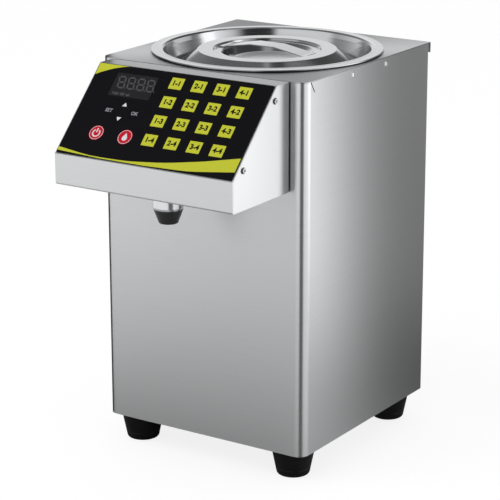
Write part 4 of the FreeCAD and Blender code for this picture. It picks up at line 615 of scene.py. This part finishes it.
# Stove enamel: sprayed and baked black, with a faint orange peel in its shine
motor_paint, tree, shader, coords = new_material("black_stove_enamel")
peel = add_node(tree, "ShaderNodeTexNoise", {"Vector": coords, "Scale": 700, "Detail": 1}).outputs[0]
tint(tree, shader, peel, "#161617", "#222224", (0.3, 0.44))
ripple = add_node(tree, "ShaderNodeBump", {"Height": peel, "Strength": 0.2, "Distance": 0.0003})
tree.links.new(ripple.outputs[0], shader.inputs["Normal"])
finish_nodes(motor_paint, "motor_case")

# Zinc coated sheet: bright crystals about four millimetres wide
case_steel, tree, shader, coords = new_material("zinc_coated_case_sheet", Metallic=1.0)
spangle = add_node(tree, "ShaderNodeTexVoronoi", {"Vector": coords, "Scale": 260})
tint(tree, shader, spangle.outputs[0], "#a9adb0", "#8f9396", (0.32, 0.46))
finish_nodes(case_steel, "power_supply")


# Tank: deep drawn stainless, hung by its flange in the top cover over a silicone gasket. A
# silicone heating mat is wrapped round its foot, and a sleeve of grey foam round both.

# Drawn stainless: a soft mirror with the fine upright lines that the punch leaves
drawn_steel, tree, shader, coords = new_material("drawn_304_stainless", Metallic=1.0)
flow = add_node(tree, "ShaderNodeMapping", {"Vector": coords, "Scale": (240, 240, 12)})
lines = add_node(tree, "ShaderNodeTexNoise", {"Vector": flow.outputs[0], "Scale": 1.0, "Detail": 3})
tint(tree, shader, lines.outputs[0], "#dadbdd", "#e6e7e8", (0.18, 0.3))
finish_nodes(drawn_steel, "tank")

# White silicone: moulded and milky, with light going a little way in
silicone, tree, shader, coords = new_material("white_moulded_silicone", IOR=1.41, Roughness=0.42)
shader.inputs["Subsurface Weight"].default_value = 0.15
shader.inputs["Subsurface Scale"].default_value = 0.002
haze = add_node(tree, "ShaderNodeTexNoise", {"Vector": coords, "Scale": 80}).outputs[0]
tint(tree, shader, haze, "#d9dadb", "#e9eaea")
tank_centre = (0, 43.85, 0)
gasket_profile = outline([(104.3, 382, 0.25), (106.8, 382, 0.25), (106.8, 383.5, 0.3), (104.3, 383.5, 0.3)])
gasket = new_piece("silicone_gasket", spun(gasket_profile, tank_centre, 160), silicone)
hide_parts("tank_gasket")

# Heater mat: glass cloth coated with red brown silicone, whose weave shows through
mat_rubber, tree, shader, coords = new_material("glass_cloth_silicone_heater", IOR=1.41)
cloth = add_node(tree, "ShaderNodeTexWave", {"Vector": coords, "Scale": 260}, bands_direction="Z")
cross = add_node(tree, "ShaderNodeTexWave", {"Vector": coords, "Scale": 260}, bands_direction="DIAGONAL")
weave = add_node(tree, "ShaderNodeMath", {0: cloth.outputs[1], 1: cross.outputs[1]}, operation="MULTIPLY")
tint(tree, shader, weave.outputs[0], "#a9431f", "#c65a30", (0.4, 0.6))
finish_nodes(mat_rubber, "heater_band")

# Closed cell foam: cut from a block, grey and dull, with pits a millimetre wide
foam, tree, shader, coords = new_material("grey_closed_cell_foam", Roughness=0.88)
cells = add_node(tree, "ShaderNodeTexVoronoi", {"Vector": coords, "Scale": 900})
tint(tree, shader, cells.outputs[0], "#4b4d50", "#63666a")
pits = add_node(tree, "ShaderNodeBump", {"Height": cells.outputs[0], "Strength": 0.5, "Distance": 0.0004})
tree.links.new(pits.outputs[0], shader.inputs["Normal"])
sleeve_profile = outline([(106.3, 141.1, 1), (109.9, 141.1, 1.2), (109.9, 359.9, 1.2), (106.3, 359.9, 1)])
sleeve = new_piece("foam_sleeve", spun(sleeve_profile, tank_centre, 128), foam)
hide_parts("insulation_sleeve")


# Hoses: clear silicone tube, drawn over barbed tails and held by zinc plated band clamps. One
# runs down from the tank to the pump, the other climbs from the pump to the nozzle.

# Clear silicone: extruded, nearly clear, with a warm haze and a soft shine
clear_tube, tree, shader, coords = new_material("clear_silicone_tube", IOR=1.41, Transmission_Weight=0.85)
haze = add_node(tree, "ShaderNodeTexNoise", {"Vector": coords, "Scale": 45}).outputs[0]
tint(tree, shader, haze, "#e4e2da", "#f3f2ee", (0.14, 0.3))


def tube(name, route, outer, bore):
    """A hose on one smooth curve through its route, with its bore and its two cut ends."""
    walls = []
    for radius in (outer, bore):
        curve = bpy.data.curves.new(name, "CURVE")
        curve.dimensions, curve.bevel_depth, curve.bevel_resolution, curve.resolution_u = "3D", radius, 6, 16
        spline = curve.splines.new("NURBS")
        spline.points.add(len(route) - 1)
        for point, place in zip(spline.points, route):
            point.co = (*place, 1)
        spline.order_u = 3
        spline.use_endpoint_u = True
        holder = bpy.data.objects.new(name, curve)
        walls.append(bpy.data.meshes.new_from_object(holder))
        bpy.data.objects.remove(holder)
    shape = bmesh.new()
    shape.from_mesh(walls[0])
    shape.from_mesh(walls[1])
    bmesh.ops.remove_doubles(shape, verts=shape.verts, dist=1e-6)
    open_edges = [edge for edge in shape.edges if edge.is_boundary]
    for end in (Vector(route[0]), Vector(route[-1])):
        bmesh.ops.bridge_loops(shape, edges=[e for e in open_edges if (e.verts[0].co - end).length < 0.02])
    made = bpy.data.meshes.new(name)
    shape.to_mesh(made)
    shape.free()
    return made


suction = [(0, 0.04385, 0.1189), (0, 0.04385, 0.06995), (0, -0.01215, 0.06995), (-0.03267, -0.01215, 0.06995)]
delivery = [
    (-0.08372, -0.01215, 0.07625), (-0.08372, -0.01215, 0.10225), (-0.09, -0.0494, 0.15425),
    (-0.085, -0.0494, 0.18363), (-0.09, -0.0494, 0.265), (-0.067, -0.0594, 0.313), (-0.0364, -0.09505, 0.3253),
    (0, -0.1207, 0.3253), (0, -0.1207, 0.2953),
]
for name, route in (("suction_hose", suction), ("delivery_hose", delivery)):
    piece = new_piece(name.replace("hose", "tube"), tube(name, route, 0.0068, 0.005), clear_tube)
    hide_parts(name)
finish_nodes(zinc, "hose_clamps")


# Top cover: a plate of the same steel laid on the cabinet, with the tank's opening, and folded
# down behind. Its edge shows as a thin line all round; rivets hold its inner flanges.
cover_rear = 160.9
cover_outline = outline([(-half, cover_rear), (-half, front, fold), (half, front, fold), (half, cover_rear)])
cover = cut_plate([cover_outline, circle(*tank_centre[:2], 104.1, 160)], sheet,
                  place=laid(0, 0, skin_top, upward=(0, 1, 0)))
back_fold = outline([(150, 381.1), (160, 381.1, 0.4), (160, 372), (161.1, 372), (161.1, 382, 1.4), (150, 382)])
cover = worked(cover, union=[cut_plate([back_fold], 2 * half, place=laid(-half, 0, 0, **sideways))], edge=0.18)
cover_flanges = [
    cut_plate([box_outline(49.85, 374.5, 186.5, 13)], sheet, 0.1, laid(x, 0, 0, **sideways))
    for x in (-111.3, 110.3)
]
# Brushed stainless: its scratches run from left to right, and it mirrors the grey roof. Its colour
# is painted darker than the cabinet's, as shade on the top.
painted_darker_cover_steel = brushed_steel("brushed_304_stainless_cover_painted_darker", (12, 1900, 12), pale="#b8b9bb", dark="#b5b6b8")
cover = new_piece("cover_plate", joined([cover, *cover_flanges]), painted_darker_cover_steel)
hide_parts("top_cover")


# Control box: a tray of brushed stainless hung on the cabinet's front, and over it one front
# sheet bent into a flat top, a slope for the keypad and an upright lip. The sheet's ends show
# as thin bright lines along the box's sides. Screws through the sides hold the two together.
# Brushed stainless: scratched from left to right on its top, slope and front
box_steel = brushed_steel("brushed_304_stainless_box", (12, 1900, 1900))
box_half, box_foot = 97, 281
slope_top, slope_foot = (-90.4, 382), (-161.1, 310)
front_section = outline([
    (-71.4, 382), (*slope_top, 1.6), (*slope_foot, 0.8), (slope_foot[0], box_foot, 2.2), (-154, box_foot), (-154, 282),
    (-160.1, 282, 1.2), (-160.1, 309.59, 0.5), (-89.98, 381, 0.6), (-71.4, 381),
])
front_sheet = cut_plate([front_section], 2 * box_half, 0.12, laid(-box_half, 0, 0, **sideways))
front_sheet = new_piece("box_front_sheet", front_sheet, box_steel)
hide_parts("control_box_front")

side_outline = outline([
    (-71, 380.9), (-90, 380.9, 0.6), (-160, 309.5, 0.6), (-160, 282), (-153.9, 282), (-153.9, box_foot),
    (-71, box_foot),
])
sides = [
    cut_plate([side_outline], sheet, 0.12, laid(x, 0, 0, **sideways)) for x in (-box_half, box_half - sheet)
]
nozzle_place = (0, -120.7, 0)
box_bottom = cut_plate([box_outline(0, -112.15, 193, 83.5, 0.3), circle(*nozzle_place[:2], 9.1)], sheet, 0.12,
                       laid(0, 0, box_foot, upward=(0, 1, 0)))
box_back = cut_plate([box_outline(0, 329, 190, 94, 0.3), box_outline(0, 330.5, 176, 79, 4)], sheet, 0.12,
                     laid(0, front, 0))
box_tray = new_piece("box_tray", joined([*sides, box_bottom, box_back]), box_steel)
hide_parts("control_box_tray")


# Boards: behind the slope a green circuit board with three relays and a chip is screwed to
# welded studs, and a black display module stands on it behind the window.

# Glass epoxy: under glossy green lacquer, with paler lines where the copper tracks run
board_resin, tree, shader, coords = new_material("solder_masked_glass_epoxy", IOR=1.55)
tracks = add_node(tree, "ShaderNodeTexBrick", {"Vector": coords, "Scale": 120, "Mortar Size": 0.03})
tracks.inputs["Color1"].default_value = linear("#0f5a36")
tracks.inputs["Color2"].default_value = linear("#11633c")
tracks.inputs["Mortar"].default_value = linear("#1f7f51")
tree.links.new(tracks.outputs[0], shader.inputs["Base Color"])
gloss = add_node(tree, "ShaderNodeMapRange", {"Value": tracks.outputs[1], "To Min": 0.22, "To Max": 0.34})
tree.links.new(gloss.outputs[0], shader.inputs["Roughness"])
finish_nodes(board_resin, "keypad_board")
finish_nodes(inlet_plastic, "display_module")


# Keypad: a black polyester membrane printed on its back, stuck to the slope. Sixteen embossed
# lime dose keys carry their column and row, four small keys carry arrows and setting marks,
# and two round red keys have a pale ring and a mark. Lime swooshes are printed at two corners.
slope = laid(0, *slope_top, upward=(0, slope_top[0] - slope_foot[0], slope_top[1] - slope_foot[1]))
film_gauge, ink_gauge = 1, 0.04


def printed(name, loops, colour, body="root"):
    """A film of ink, too thin to feel, on the membrane's face."""
    film = cut_plate(loops, ink_gauge, place=slope @ Matrix.Translation((0, 0, film_gauge / 1000)))
    return new_piece(name, film, colour, body)


# Printed polyester: film over ink, even in colour, with a fine grain and a soft reflection
def membrane(name, pale, dark):
    """The film over one colour of ink, which runs between two close shades."""
    made, tree, shader, coords = new_material(name, IOR=1.6, Specular_IOR_Level=0.1)
    grain = add_node(tree, "ShaderNodeTexNoise", {"Vector": coords, "Scale": 1500, "Detail": 2}).outputs[0]
    tint(tree, shader, grain, dark, pale, (0.3, 0.42))
    fine = add_node(tree, "ShaderNodeBump", {"Height": grain, "Strength": 0.1, "Distance": 0.0001})
    tree.links.new(fine.outputs[0], shader.inputs["Normal"])
    return made


black_film = membrane("black_printed_polyester", "#101015", "#0c0c11")
lime_film = membrane("lime_printed_polyester", "#d3d63a", "#ccd033")
red_film = membrane("red_printed_polyester", "#d0112f", "#c50e2a")
white_ink = membrane("white_printed_polyester", "#eeeef0", "#e2e2e4")
grey_ink = membrane("grey_printed_polyester", "#a7a8ad", "#9b9ca1")

first_key, column_pitch, row_pitch = (-4.2, -12.2), 24.3, 20.35
dose_keys = {
    (column + 1, row + 1): (first_key[0] + column_pitch * column, first_key[1] - row_pitch * row)
    for column in range(4) for row in range(4)
}
small_keys = {
    "up_key": (-47.1, -41.4), "down_key": (-47.1, -56.5), "set_key": (-61.4, -49.2), "enter_key": (-32.8, -49.2),
}
round_keys = {"power_key": (-63, -73.9), "rinse_key": (-31, -73.9)}
display_place = (-48.2, -21)
holes = [box_outline(x, y, 14.2, 12.4, 0.75) for x, y in dose_keys.values()]
holes += [box_outline(x, y, 11.3, 8.8, 1.35) for x, y in small_keys.values()]
holes += [circle(x, y, 7.75) for x, y in round_keys.values()]
holes += [box_outline(*display_place, 46.6, 25.6, 0.4)]
sheet_outline = box_outline(0, -50.4, 191, 98.8, 1.2)
overlay = new_piece("keypad_membrane", cut_plate([sheet_outline, *holes], film_gauge, 0.1, slope), black_film)
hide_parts("membrane_overlay")


def key_cap(name, loop, film):
    """A key: a plate of film with a softened edge, on its own body."""
    cap = cut_plate([loop], 0.5, 0.12, slope @ Matrix.Translation((0, 0, 0.0005)))
    piece = new_piece(name + "_film", cap, film, name)
    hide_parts(name)


def lettering(name, text, x, y, height, ink, body="root", weight=0.0003):
    """Printed words as flat shapes on the membrane, by the height of a capital."""
    capital_share = 0.72
    letters = bpy.data.curves.new(name, "FONT")
    letters.body, letters.size = text, height / (1000 * capital_share)
    letters.align_x, letters.align_y = "CENTER", "CENTER"
    letters.extrude, letters.offset = ink_gauge / 2000, weight
    holder = bpy.data.objects.new(name, letters)
    mesh = bpy.data.meshes.new_from_object(holder)
    bpy.data.objects.remove(holder)
    mesh.transform(slope @ Matrix.Translation((x / 1000, y / 1000, (film_gauge + ink_gauge / 2) / 1000)))
    return new_piece(name, mesh, ink, body)


for (column, row), (x, y) in dose_keys.items():
    name = f"dose_key_{column}_{row}"
    key_cap(name, box_outline(x, y, 13.9, 12.1, 0.6), lime_film)
    lettering(f"legend_{column}_{row}", f"{column}-{row}", x, y, 5.2, black_film, name)
for name, (x, y) in small_keys.items():
    key_cap(name, box_outline(x, y, 11, 8.5, 1.2), black_film)
for name, (x, y) in round_keys.items():
    key_cap(name, circle(x, y, 7.6, 72), red_film)
    printed(name + "_ring", [circle(x, y, 7.1, 72), circle(x, y, 6.7, 72)], white_ink, name)
for name, (x, y), way in (("up_key", small_keys["up_key"], 1), ("down_key", small_keys["down_key"], -1)):
    printed(name + "_arrow", [outline([
        (x - 2.6, y - 1.7 * way, 0.2), (x + 2.6, y - 1.7 * way, 0.2), (x, y + 2.4 * way, 0.3),
    ])], white_ink, name)
x, y = round_keys["power_key"]
gap_arc = [math.radians(turn) for turn in range(35, 326, 10)]
arc = [
    Vector((x + r * math.sin(t), y - 0.3 + r * math.cos(t))) for r, turns in ((4.3, gap_arc), (3.0, gap_arc[::-1]))
    for t in turns
]
printed("power_mark", [arc], white_ink, "power_key")
printed("power_mark_bar", [box_outline(x, y + 2.6, 1.3, 4.4, 0.3)], white_ink, "power_key")
x, y = round_keys["rinse_key"]
belly = 2.7
drop = [
    Vector((x + belly * math.sin(t), y - 1.2 - belly * math.cos(t)))
    for t in (math.radians(turn) for turn in range(-120, 121, 12))
]
printed("rinse_mark", [[*drop, Vector((x, y + 4.4))]], white_ink, "rinse_key")
lettering("set_mark", "SET", *small_keys["set_key"], 3.6, grey_ink, "set_key", weight=0.00012)
lettering("enter_mark", "OK", *small_keys["enter_key"], 3.6, grey_ink, "enter_key", weight=0.00012)
printed("swoosh_top", [outline([
    (-95.2, -13.9), (-88.4, -10.1, 60), (-78.1, -5.4, 60), (-68.7, -2.6, 60), (-62, -1.3), (-95.2, -1.3),
])], lime_film)
printed("swoosh_bottom", [outline([
    (-95.2, -93.6), (-58.5, -98.2, 180), (-16.4, -97.6, 200), (22.8, -93.2, 200), (59.8, -85.8, 200), (95.3, -77),
    (95.3, -91.3), (49.8, -97.9, 180), (1.8, -99.3, 200), (-49, -99.2, 180), (-95.2, -97.2),
])], lime_film)


# Display: a smoked acrylic pane set in the membrane. Four dark seven-segment digits and a
# strip of small words show faintly through it while the machine is off.
pane = cut_plate([box_outline(*display_place, 46, 25, 0.4)], 1, 0.15, slope)

# Smoked acrylic: cast in dark grey, smooth, with an even shine
smoked, tree, shader, coords = new_material("smoked_acrylic", IOR=1.49, Roughness=0.2, Specular_IOR_Level=0.25)
haze = add_node(tree, "ShaderNodeTexNoise", {"Vector": coords, "Scale": 40}).outputs[0]
tint(tree, shader, haze, "#222225", "#27272a")
pane = new_piece("display_pane", pane, smoked)
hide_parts("display_window")
# Unlit segments: printed grey, a little paler than the pane over them
unlit = membrane("unlit_display_segments", "#555255", "#4f4c4f")
bars, bar, slant = [], 1.6, 0.2
for digit in range(4):
    middle = -62.3 + 10.8 * digit
    for bar_x, bar_y, width, height in (
        *[(0, y, 5.2, bar) for y in (5.9, 0, -5.9)], *[(x, y, bar, 4.8) for y in (3, -3) for x in (-3.5, 3.5)],
        (5.4, -6, 1.1, 1.1),
    ):
        bars.append([
            Vector((middle + p.x - slant * p.y, p.y - 18.5)) for p in box_outline(bar_x, bar_y, width, height)
        ])
printed("display_segments", bars, unlit)
lettering("display_words", "RUN  SET  ml", -57.5, -31, 2.4, unlit)


# Nozzle: a turned and polished stainless body, clamped through the box's bottom by its lock
# nut, with a black acetal cone pressed into it.

# Polished stainless: turned and buffed, a soft mirror with faint clouds
polished, tree, shader, coords = new_material("polished_304_stainless", Metallic=1.0)
film = add_node(tree, "ShaderNodeTexNoise", {"Vector": coords, "Scale": 120, "Detail": 3}).outputs[0]
tint(tree, shader, film, "#bfc1c3", "#cfd1d3", (0.12, 0.2))
nozzle_profile = outline([
    (2.8, 267.05), (7.05, 267.05), (7.05, 263.4), (13.6, 263.4, 0.4), (14, 265.4, 0.8), (14, 280.9, 0.3),
    (9, 280.9), (9, 295), *[(r, 295 + 4 * i) for i in range(3) for r in (4.2, 4.9)], (4.2, 307), (2.8, 307),
])
nozzle = new_piece("nozzle_barrel", spun(nozzle_profile, nozzle_place), polished)
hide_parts("nozzle_body")

# Black acetal: turned, satin, slightly greyer where the tool has rubbed it
acetal, tree, shader, coords = new_material("turned_black_acetal", IOR=1.48)
rings = add_node(tree, "ShaderNodeTexNoise", {"Vector": coords, "Scale": 300}).outputs[0]
tint(tree, shader, rings, "#2a2b2a", "#383a38", (0.3, 0.42))
cone_profile = outline([
    (4, 250, 0.4), (8.8, 250, 1.2), (13.5, 262.6, 0.3), (13.5, 263.3, 0.2), (7, 263.3), (7, 266.9, 0.4), (4, 266.9),
])
cone = new_piece("nozzle_tip", spun(cone_profile, nozzle_place), acetal)
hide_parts("nozzle_cone")


# Lid: one disc of stainless, spun. From the rim inwards it has a turned down edge, a raised
# crest, a steep wall, a deep trough, a cone, a flat ring, a step and a bowl for the fingers.
# A narrow black rubber bead on the cover fills the gap under its edge, a dark ring that stands in
# for the shadow there.

# Spun stainless: buffed on the lathe, a mirror broken by fine rings about its middle. The real
# rings are a tenth of a millimetre apart and are drawn ten times as wide.
lid_steel, tree, shader, coords = new_material("spun_304_stainless", Metallic=1.0)
centred = add_node(tree, "ShaderNodeMapping", {
    "Vector": coords, "Location": [-place / 1000 for place in tank_centre]})
across = add_node(tree, "ShaderNodeVectorMath", {0: centred.outputs[0], 1: (1, 1, 0)}, operation="MULTIPLY")
radius = add_node(tree, "ShaderNodeVectorMath", {0: across.outputs[0]}, operation="LENGTH")
ringed = add_node(tree, "ShaderNodeTexNoise", {
    "W": radius.outputs["Value"], "Scale": 900, "Detail": 3}, noise_dimensions="1D")
tint(tree, shader, ringed.outputs[0], "#babcbe", "#d0d2d3", (0.1, 0.2))
lid_profile = outline([
    (110.4, 383.2, 0.2), (110.4, 384.4, 0.5), (104, 384.4, 0.6), (99.6, 385.1, 2.2), (94, 367, 2.2), (88, 367, 2.2),
    (66, 383.2, 2.2), (52, 383.2, 1), (50.8, 381, 1), (44.4, 381, 2.2), (32.6, 373.7, 2.2), (0, 373.7), (0, 372.9),
    (32.37, 372.9, 3), (44.17, 380.2, 1.4), (50.2, 380.2, 1.8), (51.4, 382.4, 0.4), (65.73, 382.4, 1.4),
    (87.73, 366.2, 3), (94.59, 366.2, 3), (99.01, 384.3, 1.4), (104, 383.6, 0.6), (109.6, 383.6, 0.4),
    (109.6, 383.2, 0.2),
])
lid = new_piece("lid_dish", spun(lid_profile, tank_centre, 256), lid_steel, "lid")
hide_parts("lid_pan")
# Black bead in the gap under the lid's edge: a dark ring put where there is only shadow
bead_profile = outline([(108.2, 382.01), (110.1, 382.01), (110.1, 383, 0.5), (108.2, 383, 0.5)])
new_piece("lid_seat_bead", spun(bead_profile, tank_centre, 160), rubber)

# Strap handle: a strip of polished stainless arched over the bowl. Its short flat feet lie on
# the lid's ledge, where they are spot welded.
strap_section = outline([
    (-48.4, 381, 0.3), (-43.5, 381, 6), (0, 392.2, 160), (43.5, 381, 6), (48.4, 381, 0.3), (48.4, 382.2, 0.3),
    (43.5, 382.2, 7), (0, 393.4, 161.2), (-43.5, 382.2, 7), (-48.4, 382.2, 0.3),
])
strap = cut_plate([strap_section], 19.6, 0.3, laid(0, 53.65, 0))
strap = new_piece("lid_strap", strap, lid_steel, "lid")
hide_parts("lid_handle")


# Fasteners: stainless screws with a hexagon socket, on thin black washers where they show, which
# stand in for the shadow round the heads, and domed aluminium rivets through the cabinet and the top
# cover's flanges.
def screw(length):
    """A cap screw along its Z axis, with the underside of its head at zero."""
    head = spun(outline([
        (0, -length), (1.6, -length, 0.3), (1.6, 0), (2.4, 0), (2.4, 1.2, 0.4), (0, 1.2),
    ]), (0, 0, 0), 24)
    return worked(head, [spun([(0, 0.5), (1.35, 0.5), (1.35, 2), (0, 2)], (0, 0, 0), 6)])


box_screws, washer = ((-93.39, 368.96), (-144.4, 317.01)), 0.35
screw_sets = (
    (3.4, [(x, panel_face, z) for x, z in panel_screws], [(0, 1, 0)] * 4),
    (3.4, [(x, y, z) for x in (-box_half - washer, box_half + washer) for y, z in box_screws],
     [(x, 0, 0) for x in (-1, -1, 1, 1)]),
    (11.4, [(x, -26.3, z) for x in (-41.57, -70.42) for z in (46.77, 93.13)], [(0, -1, 0)] * 4),
    (2.0, [(x, 17, 30.2) for x in (-37, -75)], [(0, 0, 1)] * 2),
)
screws = [
    repeated("screws", places, facings, screw(length), turned_steel) for length, places, facings in screw_sets
]
screws = new_piece("cap_screws", joined(screws), turned_steel)
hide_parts("machine_screws")
# Black washers: dark rings under the box's screw heads that stand in for the shadow round them
ring = spun([(1.7, 0), (3.0, 0), (3.0, washer), (1.7, washer)], (0, 0, 0), 24)
washer_places = [(x, y, z) for x in (-box_half, box_half) for y, z in box_screws]
washers = repeated("washers", washer_places, screw_sets[1][2], ring, inlet_plastic)
washers = new_piece("black_washers", washers, inlet_plastic)

# Rivet aluminium: cold headed, bright, with small dents from the setting tool
aluminium, tree, shader, coords = new_material("bright_rivet_aluminium", Metallic=1.0)
dings = add_node(tree, "ShaderNodeTexNoise", {"Vector": coords, "Scale": 500}).outputs[0]
tint(tree, shader, dings, "#d5d6d8", "#e2e3e4", (0.2, 0.3))
dome = spun(outline([
    (0, -2.2), (1.5, -2.2, 0.3), (1.5, 0), (2.6, 0), (2.1, 0.68, 0.6), (0.9, 0.9, 1), (0, 0.9),
]), (0, 0, 0), 32)
rivet_places = [(x, y, rivet_z) for x in (-half, half) for y in rivet_ys]
rivets = repeated("rivets", rivet_places, [(x, 0, 0) for x, _, _ in rivet_places], dome, aluminium)
rivets = new_piece("domed_rivets", rivets, aluminium)
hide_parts("cabinet_rivets")
